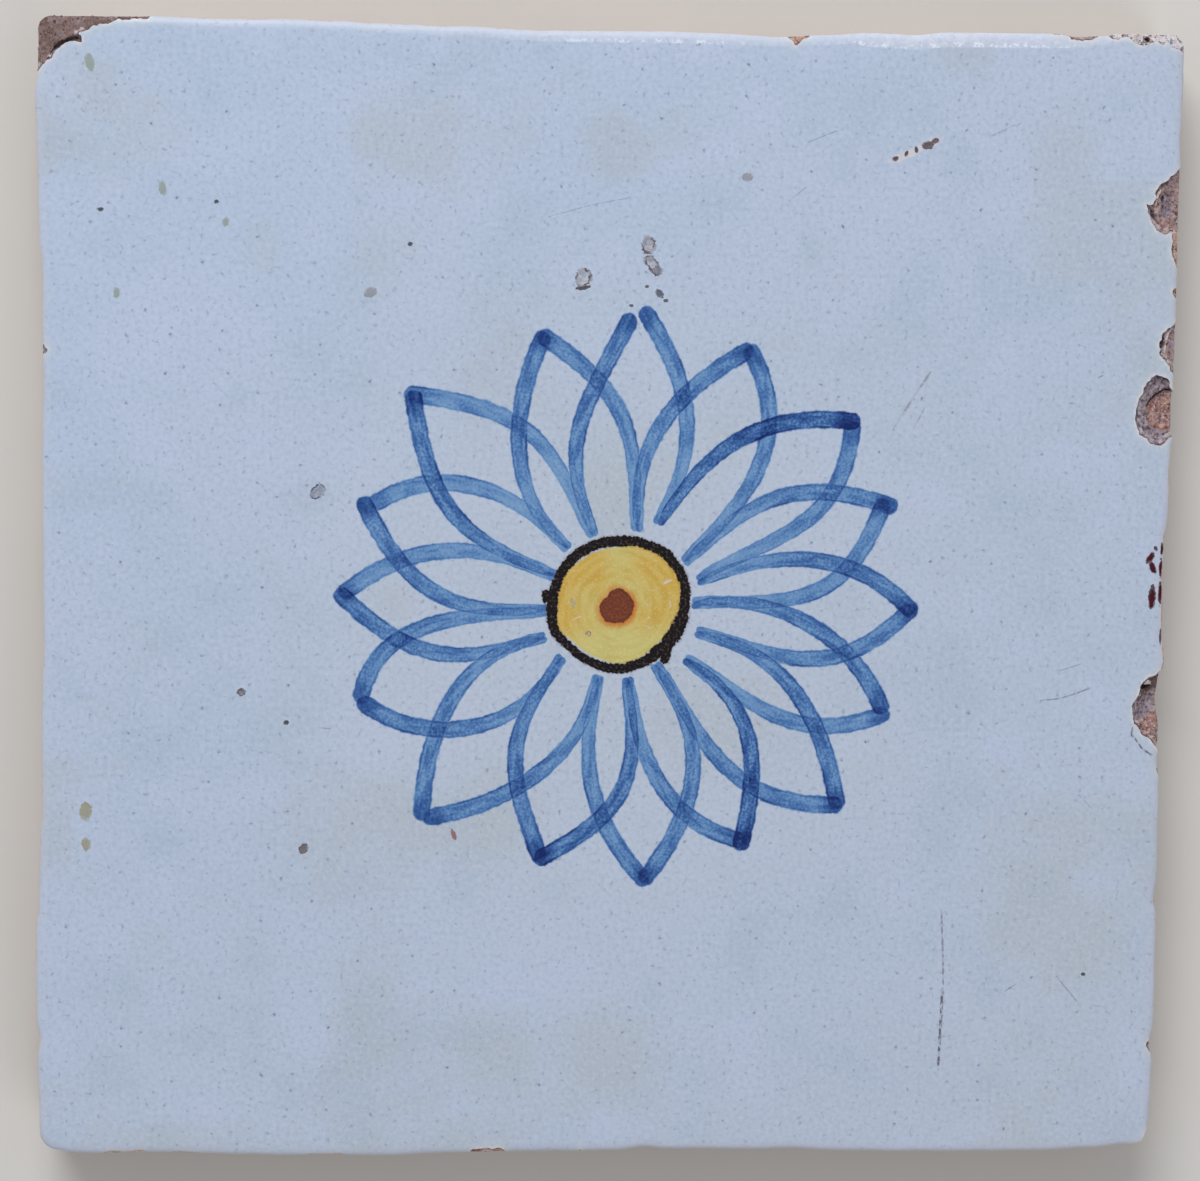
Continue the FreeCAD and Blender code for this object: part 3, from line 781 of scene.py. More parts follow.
def paint_attributes(mesh, paint, outline):
    """Brush, ring, mark and scratch frames on the face corners, each triangle in the frame nearest to it."""
    places, corners, starts, sizes = face_corners(mesh)
    places, corners = places[:, :2], corners[:, :2]
    count = len(corners)
    face_of = np.repeat(np.arange(len(starts)), sizes)
    centres = np.add.reduceat(corners, starts, axis=0) / sizes[:, None]

    def nearest_frames(paths):
        """For each face the nearest path, by its own measure."""
        best = np.full(len(centres), FAR)
        choice = np.full(len(centres), -1)
        for k, (path, half_widths, *_) in enumerate(paths):
            # A narrow line also reaches the triangles that it only clips.
            reach = max(2.2, 0.55 / max(half_widths))
            boxed = near_loop(centres, path, reach * max(half_widths))
            gaps = brush_frame(centres[boxed], path, half_widths)[4]
            closer = gaps < np.minimum(best[boxed], reach)
            best[boxed[closer]] = gaps[closer]
            choice[boxed[closer]] = k
        return choice

    def frame_attribute(name, paths):
        choice = nearest_frames(paths)[face_of]
        frames = np.tile((0.0, FAR, 0.0), (count, 1))
        nature = np.zeros((count, 3))
        for k, (path, half_widths, *rest) in enumerate(paths):
            picked = np.flatnonzero(choice == k)
            if len(picked):
                along, side, over, left, _ = brush_frame(corners[picked], path, half_widths)
                frames[picked] = np.stack((along, side, over), axis=1)
                nature[picked, :len(rest)] = rest
                if len(rest) < 3:
                    nature[picked, 2] = left
        put_attribute(mesh, name, frames)
        put_attribute(mesh, name + "_nature", nature)

    for layer, paths in enumerate(strokes(paint)):
        frame_attribute(("under_stroke", "over_stroke")[layer], paths)
    lines = [(round_curve(points, 0.5, closed=False), (half, half), strength, dirt_and_glint, k)
             for k, (points, half, strength, dirt_and_glint) in enumerate(SCRATCHES)]
    frame_attribute("scratch", lines)

    away = corners - HEART
    bearing = np.arctan2(away[:, 1], away[:, 0])
    from_ring = np.linalg.norm(away, axis=1) - round_values(RING_RADII, bearing)
    from_ring_share = from_ring / (round_values(RING_WIDTHS, bearing) / 2)
    dabs = np.full(count, FAR)
    for start, end, half in RING_DABS:
        dabs = np.minimum(dabs, to_segments(corners, np.array((start, end)), closed=False) / half)
    put_attribute(mesh, "ring", np.stack((from_ring, from_ring_share, dabs), axis=1))
    away = corners - DOT_CENTRE
    bearing = np.arctan2(away[:, 1], away[:, 0])
    put_attribute(mesh, "dot", np.linalg.norm(away, axis=1) - round_values(DOT_RADII, bearing))

    best = np.full(len(centres), MARK_REACH)
    choice = np.full(len(centres), -1)
    for k, mark in enumerate(GLAZE_MARKS):
        share = mark_frame(centres, mark)
        closer = share < best
        best[closer] = share[closer]
        choice[closer] = k
    choice = choice[face_of]
    shares = np.full(count, FAR)
    rims = np.zeros(count)
    tints = np.zeros((count, 3))
    for k, mark in enumerate(GLAZE_MARKS):
        picked = choice == k
        shares[picked] = mark_frame(corners[picked], mark)
        rims[picked] = mark.rim
        tints[picked] = srgb(*MARK_TINTS[mark.tint])
    none = np.zeros(count)
    put_attribute(mesh, "mark", np.stack((shares, rims, none), axis=1))
    put_attribute(mesh, "mark_tint", tints)
    put_attribute(mesh, "rim_distance", outline.depth_inside(corners, short=True))
    # Painted highlight on the top roll: its strength, and the distance from the top's glaze line as a share
    # of the band's width.
    painted_highlight = along_rows(TOP_PAINTED_HIGHLIGHT, corners[:, 0])
    from_top = HALF_SIDE - corners[:, 1] - outline.inset("top", corners[:, 0], short=True)
    put_attribute(mesh, "top_painted_highlight", np.stack((painted_highlight, from_top / (0.8 + 1.15 * painted_highlight), none), axis=1))
    chip_gap = np.full(len(places), OFF_CHIPS)
    for loop in outline.chips.values():
        boxed = near_loop(places, loop, 3.0)
        chip_gap[boxed] = np.minimum(chip_gap[boxed], to_segments(places[boxed], loop))
    put_attribute(mesh, "chip_distance", chip_gap, "POINT")
    clouds = [0.5 + 0.34 * rough(places, size, seed, 4)
              for size, seed in ((26.0, 201), (6.5, 211), (15.0, 221))]
    put_attribute(mesh, "clouds", np.stack(clouds, axis=1), "POINT")


def close_wall(faces, chain_rows, levels):
    """Quads that join each level of a wall to the one below it."""
    for row in chain_rows:
        following = np.roll(row, -1)
        for upper, lower in zip(levels, levels[1:]):
            quads = np.stack((upper[following], upper[row], lower[row], lower[following]), axis=1)
            faces += quads.tolist()


def cover_rim(corners, triangles, places, rim):
    """Corners of an underside off its rim, and its triangles numbered onto the rim and on from it."""
    fresh = places < 0
    numbers = np.where(fresh, 0, rim[np.maximum(places, 0)])
    numbers[fresh] = rim[-1] + 1 + np.arange(fresh.sum())
    return corners[fresh], numbers[triangles][:, ::-1].tolist()


def build_glaze(shape, paint, material):
    """Closed skin of glaze: rolled face, ragged lip or broken wall at its edge, and a plain underside."""
    outline = Outline(shape)
    chips = list(outline.chips.values())
    points = off_chips(face_points(outline, shape.glaze_grid / MM), outline)
    top, top_faces, _ = triangulate(points, [outline.loop(short=True), *chips], lambda owners: owners == {0})
    chains = rim_loops(top_faces)
    edge = np.concatenate(chains)
    chain_rows = np.split(np.arange(len(edge)), np.cumsum([len(chain) for chain in chains])[:-1])

    # Broken glaze ends in a wall of its full thickness. Whole glaze runs down over the edge in tongues.
    spots = top[edge]
    head = np.c_[spots, outline.face(spots)]
    broken = np.full(len(edge), FAR)
    for loop in chips:
        broken = np.minimum(broken, to_segments(spots, loop))
    broken = broken < 1e-3
    depth = outline.depth_inside(spots)
    tongue = 0.2 + 1.1 * np.maximum(lattice_noise(spots, 2.6, 31), 0) + 0.25 * lattice_noise(spots, 0.8, 33)
    tongue = np.where(depth < 0.28, np.maximum(tongue, 0.08), 0.06)
    drop = np.where(broken, outline.under_glaze(spots), tongue)
    outwards = -outline.inwards(spots) * np.where(broken, 0.0, np.minimum(depth, 0.05))[:, None]
    rings = []
    for k, (share, push) in enumerate(LIP_LEVELS):
        ring = head.copy()
        ring[:, 2] -= drop * share
        ring[:, :2] += outwards * push
        if push:
            crumble = np.where(broken, 0.03, 0.0) * lattice_noise(spots, 0.4, 40 + k)
            ring[:, :2] += outline.inwards(spots) * crumble[:, None]
        rings.append(ring)
    numbers = len(top) + np.arange(len(rings) * len(edge)).reshape(len(rings), -1)
    faces = top_faces.tolist()
    kinds = [FACE] * len(faces)
    close_wall(faces, chain_rows, [edge, *numbers])
    kinds += [WALL] * (len(faces) - len(kinds))

    sparse = grid_points(HALF_SIDE, 3.0, 4)
    sparse = off_chips(sparse[outline.depth_inside(sparse, short=True) > 0.8], outline, 0.4)
    loops = [spots[row] for row in chain_rows]
    holes = {k for k, loop in enumerate(loops) if loop_area(loop) < 0}
    under = triangulate(sparse, loops, lambda owners: bool(owners) and not owners & holes)
    inner, under_faces = cover_rim(*under, numbers[-1])
    inner = np.c_[inner, outline.face(inner) - outline.under_glaze(inner)]
    faces += under_faces
    kinds += [UNDER] * (len(faces) - len(kinds))
    corners = np.vstack([np.c_[top, outline.face(top)], *rings, inner])
    piece = new_piece("glaze", corners, faces, material)
    paint_attributes(piece.data, paint, outline)
    lay_out_glaze(piece.data, kinds)
    return piece


def lay_out_glaze(mesh, kinds):
    """Texture layout: the face fills the sheet, walls and underside lie in narrow bands beside it."""
    _, places, _, sizes = face_corners(mesh)
    kind = np.repeat(np.array(kinds), sizes)
    u = 0.5 + places[:, 0] / (2 * HALF_SIDE + 1) * 0.92 - 0.035
    v = 0.5 + places[:, 1] / (2 * HALF_SIDE + 1) * 0.92 - 0.035
    wall = kind == WALL
    under = kind == UNDER
    turn = np.arctan2(places[:, 1], places[:, 0]) / math.tau + 0.5
    u = np.where(wall, 0.005 + 0.99 * turn, u)
    v = np.where(wall, 0.945 + 0.02 * np.clip((FACE_HEIGHT - places[:, 2]) / 2.5, 0, 1), v)
    u = np.where(under, 0.95 + 0.045 * (places[:, 0] / (2 * HALF_SIDE) + 0.5), u)
    v = np.where(under, 0.02 + 0.9 * (places[:, 1] / (2 * HALF_SIDE) + 0.5), v)
    put_layout(mesh, u, v)


def scar(outline, points, face, depth):
    """Height, nearness to the glaze and tone of the clay where the glaze is lost."""
    height = face - 0.05
    nearness = np.full(len(points), OFF_CHIPS)
    tone = np.full(len(points), NO_TONE)
    for k, (name, loop) in enumerate(outline.chips.items()):
        boxed = near_loop(points, loop, 0.1)
        held = boxed[inside(points[boxed], loop)]
        if not len(held):
            continue
        spots = points[held]
        gap = to_segments(spots, loop)
        share = gap / np.maximum(gap + np.maximum(depth[held], 0), 1e-6)
        fall, chip_tone, _ = CHIPS[name]
        ripple = 0.06 * np.sin(gap * 5.5 + 2 * lattice_noise(spots, 2.0, 50 + k))
        lumps = outline.grain * (rough(spots, 0.55, 60 + k) + 1.2 * lattice_noise(spots, 1.6, 70 + k))
        level = FACE_HEIGHT - outline.thickness - 0.1 - fall * share ** 0.8
        level += (ripple + lumps) * smooth(gap, 0.0, 0.5)
        height[held] = np.minimum(height[held] - 0.1, level)
        nearness[held] = gap
        tone[held] = chip_tone
    for name, loop in outline.hollows.items():
        extra, bank, hollow_tone, _ = HOLLOWS[name]
        boxed = near_loop(points, loop)
        boxed = boxed[tone[boxed] > -0.5]
        held = boxed[inside(points[boxed], loop)]
        if len(held):
            sunk = smooth(to_segments(points[held], loop), 0.0, bank)
            height[held] -= extra * sunk
            tone[held] += (hollow_tone - tone[held]) * sunk
    return height, nearness, tone


def clay_points(outline):
    """Points of the clay's upper side: sparse under the glaze, close together in the scars."""
    rows = [outline.loop(inwards, ROW_STEP) for inwards in CLAY_ROWS]
    sparse = grid_points(HALF_SIDE, 2.5, 5)
    sparse = off_chips(np.vstack([*rows, sparse[outline.depth_inside(sparse) > 1.4]]), outline, 0.08)
    fine = grid_points(HALF_SIDE, outline.scar_step, 6)
    in_chip = np.zeros(len(fine), bool)
    for loop in outline.chips.values():
        boxed = near_loop(fine, loop)
        in_chip[boxed[inside(fine[boxed], loop)]] = True
    fine = fine[in_chip]
    return np.vstack([sparse, fine[outline.depth_inside(fine) > 0.05]])


def build_clay(shape, material):
    """Fired clay: face under the glaze, scars of the chips, rough undercut sides and a plain back."""
    outline = Outline(shape)
    loops = [outline.loop(), *outline.chips.values()]
    top, top_faces, _ = triangulate(clay_points(outline), loops, lambda owners: 0 in owners)
    depth = outline.depth_inside(top)
    covered = outline.depth_inside(top, short=True) > 0
    face = outline.face(top, depth)
    face = np.where(covered, face - outline.under_glaze(top, depth) + 0.02, face - 0.05)
    height, nearness, tone = scar(outline, top, face, depth)
    chain = max(rim_loops(top_faces), key=len)
    row = np.arange(len(chain))

    # Below the worn edge the sides lean in under the face, rough as the clay was cut.
    edge = top[chain]
    head = height[chain]
    worn = HALF_SIDE - np.abs(edge).max(axis=1)
    inwards = outline.inwards(edge)
    back_round = shape.back_round / MM
    slope = math.tan(shape.undercut)
    rings = []
    for share in SIDE_LEVELS:
        level = head + (back_round - head) * share
        below = head - level
        spot = np.c_[edge, level]
        pull = slope * below - 0.5 * np.minimum(worn, 0.6) * smooth(below, 0.5, 4.0)
        pull += 0.12 + 0.1 * rough(spot, 2.2, 90) + 0.05 * lattice_noise(spot, 0.6, 95)
        pull = np.maximum(pull, slope * np.maximum(FACE_HEIGHT - level - 0.6, 0) - worn + 0.02)
        rings.append(np.c_[edge + inwards * (pull * smooth(below, 0.0, 0.5))[:, None], level])
    last = rings[-1]
    for rise, pull in BACK_LEVELS:
        rings.append(np.c_[last[:, :2] + inwards * back_round * pull, last[:, 2] * rise])
    numbers = len(top) + np.arange(len(rings) * len(chain)).reshape(len(rings), -1)
    faces = top_faces.tolist()
    kinds = [FACE] * len(faces)
    close_wall(faces, [row], [chain, *numbers])
    kinds += [WALL] * (len(faces) - len(kinds))

    spots = grid_points(HALF_SIDE, 1.7, 9)
    spots = spots[outline.depth_inside(spots) > 3.0]
    back = triangulate(spots, [rings[-1][:, :2]], lambda owners: 0 in owners)
    inner, back_faces = cover_rim(*back, numbers[-1])
    relief = 0.11 + 0.09 * rough(inner, 7.0, 120) + 0.06 * lattice_noise(inner, 2.3, 125)
    relief = np.maximum(relief, 0.0) * smooth(outline.depth_inside(inner), 1.5, 4.0)
    faces += back_faces
    kinds += [UNDER] * (len(faces) - len(kinds))
    corners = np.vstack([np.c_[top, height], *rings, np.c_[inner, relief]])
    piece = new_piece("clay_body", corners, faces, material)
    plain = np.tile((OFF_CHIPS, NO_TONE, WALL), (len(piece.data.vertices), 1))
    plain[:len(top)] = np.c_[nearness, tone, np.full(len(top), FACE)]
    plain[-len(inner):, 2] = UNDER
    put_attribute(piece.data, "clay_zone", plain, "POINT")
    lay_out_clay(piece.data, kinds)
    return piece


def lay_out_clay(mesh, kinds):
    """Texture layout: face and back side by side, the four sides as bands above them."""
    _, places, starts, sizes = face_corners(mesh)
    kind = np.repeat(np.array(kinds), sizes)
    half = HALF_SIDE + 0.5
    u = 0.005 + 0.485 * (places[:, 0] / (2 * half) + 0.5)
    v = 0.005 + 0.485 * (places[:, 1] / (2 * half) + 0.5)
    u = np.where(kind == UNDER, 0.995 - 0.485 * (places[:, 0] / (2 * half) + 0.5), u)
    middle = np.add.reduceat(places, starts, axis=0) / sizes[:, None]
    middle = np.repeat(middle, sizes, axis=0)
    across = np.abs(middle[:, 0]) > np.abs(middle[:, 1])
    side = np.where(across, np.where(middle[:, 0] > 0, 0, 1), np.where(middle[:, 1] > 0, 2, 3))
    way = np.where(across, places[:, 1], places[:, 0])
    band_u = 0.005 + 0.99 * (way / (2 * half) + 0.5)
    band_v = 0.5 + 0.12 * side + 0.1 * np.clip(places[:, 2] / FACE_HEIGHT, 0, 1)
    wall = kind == WALL
    put_layout(mesh, np.where(wall, band_u, u), np.where(wall, band_v, v))


def add(tree, kind, inputs=None, **settings):
    """New node with its settings, and values or sockets for its inputs."""
    node = tree.nodes.new(kind)
    for name, value in settings.items():
        setattr(node, name, value)
    for key, value in (inputs or {}).items():
        if isinstance(value, bpy.types.NodeSocket):
            tree.links.new(value, node.inputs[key])
        else:
            node.inputs[key].default_value = value
    return node


def compute(tree, operation, *values, clamp=False):
    inputs = dict(enumerate(values))
    return add(tree, "ShaderNodeMath", inputs, operation=operation, use_clamp=clamp).outputs[0]


def times(tree, first, second, clamp=False):
    return compute(tree, "MULTIPLY", first, second, clamp=clamp)


def plus(tree, first, second):
    return compute(tree, "ADD", first, second)


def weigh(tree, value, factor, base, clamp=False):
    """Value times a factor, added to a base."""
    return compute(tree, "MULTIPLY_ADD", value, factor, base, clamp=clamp)


def length(tree, vector):
    return add(tree, "ShaderNodeVectorMath", {0: vector}, operation="LENGTH").outputs["Value"]


def ease(tree, value, low, high, start=0.0, end=1.0):
    inputs = {0: value, 1: low, 2: high, 3: start, 4: end}
    return add(tree, "ShaderNodeMapRange", inputs, interpolation_type="SMOOTHSTEP").outputs[0]


def mix(tree, share, first, second):
    return add(tree, "ShaderNodeMix", {0: share, 6: first, 7: second}, data_type="RGBA").outputs[2]


def washes(tree, colour, *rows):
    """A colour with tints laid over it: mask, where it sets in, where it is full, strength and tint."""
    for mask, low, high, strength, screen_values in rows:
        colour = mix(tree, ease(tree, mask, low, high, 0.0, strength), colour, tint(*screen_values))
    return colour


def noise(tree, place, wavelength, detail=2.0, dimensions="2D"):
    """Noise whose main wavelength is given in the units of its place."""
    inputs = {"Vector": place, "Scale": 1 / wavelength, "Detail": detail}
    return add(tree, "ShaderNodeTexNoise", inputs, noise_dimensions=dimensions).outputs["Fac"]


def ramp(tree, value, stops):
    node = add(tree, "ShaderNodeValToRGB", {"Fac": value})
    elements = node.color_ramp.elements
    while len(elements) < len(stops):
        elements.new(0.5)
    for element, (position, colour) in zip(elements, stops):
        element.position = position
        element.color = (*colour, 1.0)
    return node.outputs["Color"]


def parts(tree, vector):
    return add(tree, "ShaderNodeSeparateXYZ", {0: vector}).outputs


def joined(tree, *values):
    return add(tree, "ShaderNodeCombineXYZ", dict(enumerate(values))).outputs[0]


def scaled(tree, vector, amount):
    return add(tree, "ShaderNodeVectorMath", {0: vector, "Scale": amount}, operation="SCALE").outputs[0]


def attribute(tree, name, output="Vector"):
    return add(tree, "ShaderNodeAttribute", attribute_name=name).outputs[output]


def group(name, inputs, outputs, kind="ShaderNodeTree"):
    """Node group with named sockets, built once."""
    tree = bpy.data.node_groups.new(name, kind)
    for direction, sockets in (("INPUT", inputs), ("OUTPUT", outputs)):
        for label, socket_kind in sockets.items():
            tree.interface.new_socket(label, in_out=direction, socket_type="NodeSocket" + socket_kind)
    return tree, tree.nodes.new("NodeGroupInput").outputs, tree.nodes.new("NodeGroupOutput").inputs


def use(tree, shared, **inputs):
    return add(tree, "ShaderNodeGroup", inputs, node_tree=shared).outputs


def spread(tree):
    """Puts the nodes in columns by how far they lie from the output."""
    column = {node: 0 for node in tree.nodes}
    for _ in range(len(tree.nodes)):
        moved = False
        for link in tree.links:
            if column[link.from_node] <= column[link.to_node]:
                column[link.from_node] = column[link.to_node] + 1
                moved = True
        if not moved:
            break
    rows = {}
    for node, place in column.items():
        rows[place] = rows.get(place, 0) + 1
        node.location = (-220 * place, -190 * rows[place])


def finish(tree, target, outputs):
    """Links the last sockets and lays the nodes out."""
    for label, socket in outputs.items():
        tree.links.new(socket, target[label])
    spread(tree)
    return tree


def brush_group():
    """Pigment left by one brush stroke: granular, faintly streaked, darker at its wavering edge."""
    tree, given, result = group(
        "Brush stroke", {"Frame": "Vector", "Nature": "Vector", "Waver": "Float", "Crumb": "Float"},
        {"Density": "Float", "Inner": "Float", "Cover": "Float"})
    along, rim, over = parts(tree, given["Frame"])
    load, seed, left = parts(tree, given["Nature"])
    share = length(tree, joined(tree, rim, over, 0.0))
    waver, crumb = given["Waver"], given["Crumb"]
    edge = weigh(tree, waver, 0.26, share)
    edge = weigh(tree, crumb, 0.17, edge)
    edge = plus(tree, edge, ease(tree, left, 1.8, 0.0, 0.0, 0.24))
    cover = ease(tree, edge, 0.82, 1.1, 1.0, 0.0)
    heart = ease(tree, edge, 0.62, 1.02, 1.0, 0.0)
    # Hairs of the brush leave streaks that follow the stroke.
    start = weigh(tree, seed, 37.0, along)
    streak = noise(tree, joined(tree, times(tree, start, 0.2), times(tree, rim, 1.4), 0.0), 0.7, 1)
    cloud = noise(tree, joined(tree, times(tree, start, 0.3), rim, 0.0), 1.0, 0)
    body = ease(tree, streak, 0.3, 0.72, 0.74, 1.12)
    body = times(tree, body, ease(tree, cloud, 0.3, 0.7, 0.8, 1.14))
    body = weigh(tree, crumb, 1.3, body)
    # Pigment gathers along the edges and pools where the brush was set down.
    within = ease(tree, edge, 1.04, 0.94)
    fickle = ease(tree, noise(tree, joined(tree, start, 0.0, 0.0), 5.0, 0), 0.4, 0.62, 0.2, 0.75)
    border = times(tree, ease(tree, rim, 0.6, 0.84), within)
    body = weigh(tree, border, fickle, body)
    border = times(tree, ease(tree, rim, -0.6, -0.84), within)
    body = weigh(tree, border, 0.38, body)
    body = times(tree, body, ease(tree, left, 16.0, 6.0, 1.0, 0.72))
    body = weigh(tree, ease(tree, along, 2.6, 0.6), 0.5, body)
    body = weigh(tree, ease(tree, left, 1.2, 0.2), 0.3, body)
    density = times(tree, times(tree, body, load), cover)
    inner = times(tree, density, heart)
    density = compute(tree, "MAXIMUM", density, 0.0)
    return finish(tree, result, {"Density": density, "Inner": inner, "Cover": cover})


def petal_group(paint, brush):
    """Two layers of strokes whose pigment partly adds up where they cross."""
    tree, given, result = group("Petals", {"Base": "Color", "Waver": "Float", "Crumb": "Float"},
                                {"Color": "Color"})
    under, over = (use(tree, brush, Frame=attribute(tree, name), Nature=attribute(tree, name + "_nature"),
                       Waver=given["Waver"], Crumb=given["Crumb"])
                   for name in ("under_stroke", "over_stroke"))
    total = compute(tree, "MAXIMUM", under["Density"], over["Density"])
    less = compute(tree, "MINIMUM", under["Inner"], over["Inner"])
    total = weigh(tree, less, 0.5, total)
    cover = compute(tree, "MAXIMUM", under["Cover"], over["Cover"])
    colour = ramp(tree, compute(tree, "DIVIDE", total, 1.5), (
        (0.0, srgb(150, 178, 212)), (0.13, srgb(122, 158, 198)), (0.26, tuple(paint.wash)),
        (0.37, tuple(paint.cobalt)), (0.54, tuple(paint.deep)), (0.74, tuple(paint.pool)),
        (1.0, tuple(paint.navy))))
    return finish(tree, result, {"Color": mix(tree, cover, given["Base"], colour)})


def heart_group(paint):
    """Yellow disc brushed round, brown dot with its halo, and the crumbly dark ring."""
    tree, given, result = group(
        "Heart", {"Base": "Color", "Place": "Vector", "Waver": "Float", "Crumb": "Float"},
        {"Color": "Color", "Cover": "Float"})
    centred = add(tree, "ShaderNodeVectorMath", {0: given["Place"], 1: (*HEART, 0.0)}, operation="SUBTRACT")
    east, north, _ = parts(tree, centred.outputs[0])
    flat = joined(tree, east, north, 0.0)
    radius = length(tree, flat)
    heading = add(tree, "ShaderNodeVectorMath", {0: flat}, operation="NORMALIZE").outputs[0]
    from_ring, share, dab = parts(tree, attribute(tree, "ring"))
    waver, crumb = given["Waver"], given["Crumb"]

    hx, hy, _ = parts(tree, heading)
    brushed = noise(tree, joined(tree, hx, hy, times(tree, radius, 0.75)), 0.5, 0, "3D")
    cloud = noise(tree, given["Place"], 5.0, 0)
    warm = weigh(tree, compute(tree, "ABSOLUTE", east), 0.09, times(tree, north, 0.045))
    warm = plus(tree, warm, weigh(tree, cloud, 0.9, -0.62))
    yellow = mix(tree, ease(tree, warm, -0.25, 0.65), (*paint.yellow, 1.0), (*paint.orange, 1.0))
    yellow = washes(
        tree, yellow, (brushed, 0.4, 0.7, 0.22, (216, 204, 140)), (brushed, 0.42, 0.25, 0.2, (180, 142, 58)),
        (crumb, 0.06, 0.2, 0.3, (222, 212, 160)))
    gap = ease(tree, noise(tree, heading, 1.2, 0), 0.5, 0.64, 0.0, 0.42)
    reach = plus(tree, weigh(tree, waver, 0.3, from_ring), gap)
    disc = ease(tree, reach, -0.5, -0.3, 1.0, 0.0)
    colour = mix(tree, disc, given["Base"], yellow)

    dot = weigh(tree, waver, 0.35, attribute(tree, "dot", "Fac"))
    dot = weigh(tree, crumb, 0.25, dot)
    halo = weigh(tree, compute(tree, "SUBTRACT", east, north), 0.08, 0.78)
    halo = times(tree, ease(tree, dot, 1.0, 0.0), compute(tree, "MINIMUM", halo, 0.95))
    colour = mix(tree, halo, colour, tint(196, 116, 42))
    brown = mix(tree, ease(tree, crumb, -0.1, 0.18), (*paint.brown, 1.0), tint(126, 68, 44))
    brown = washes(tree, brown, (dot, -0.7, -0.1, 0.35, (84, 40, 34)))
    colour = mix(tree, ease(tree, dot, 0.08, -0.1), colour, brown)

    edge = compute(tree, "MINIMUM", compute(tree, "ABSOLUTE", share), dab)
    edge = weigh(tree, waver, 0.5, edge)
    edge = weigh(tree, crumb, 0.7, edge)
    ring_cover = ease(tree, edge, 1.0, 1.2, 1.0, 0.0)
    soft = ease(tree, edge, 1.0, 1.55, 0.5, 0.0)
    colour = mix(tree, soft, colour, tint(92, 66, 62))
    black = mix(tree, ease(tree, crumb, 0.02, 0.24, 0.0, 0.45), (*paint.ring, 1.0), tint(104, 84, 84))
    colour = mix(tree, ring_cover, colour, black)
    return finish(tree, result, {"Color": colour, "Cover": compute(tree, "MAXIMUM", ring_cover, disc)})


def glaze_group(paint):
    """Pale blue glaze with slow clouds, fine grain, grey-blue specks and a few black ones."""
    tree, given, result = group("Tin glaze", {"Place": "Vector"}, {"Color": "Color", "Grain": "Float"})
    cloud, patch, stain = parts(tree, attribute(tree, "clouds"))
    grain = noise(tree, given["Place"], 0.6, 2)
    x, y, _ = parts(tree, given["Place"])
    colour = mix(tree, ease(tree, cloud, 0.35, 0.68), (*paint.glaze, 1.0), tint(184, 198, 221))
    lean = weigh(tree, x, 0.0035, weigh(tree, y, -0.004, 0.4), clamp=True)
    colour = mix(tree, lean, colour, tint(183, 194, 212))
    out = length(tree, given["Place"])
    peak = noise(tree, given["Place"], 0.8, 1)
    colour = washes(
        tree, colour, (patch, 0.5, 0.75, 0.5, (188, 200, 224)), (patch, 0.48, 0.25, 0.5, (172, 188, 208)),
        (out, 58.0, 22.0, 0.55, (187, 196, 211)), (stain, 0.52, 0.74, 0.5, (178, 186, 192)),
        (grain, 0.5, 0.75, 0.36, (196, 208, 228)), (grain, 0.5, 0.25, 0.42, (164, 179, 200)),
        (peak, 0.65, 0.85, 0.46, (126, 137, 156)), (peak, 0.84, 0.875, 0.55, (70, 74, 88)),
        (peak, 0.2, 0.14, 0.4, (208, 210, 214)))
    return finish(tree, result, {"Color": colour, "Grain": grain})


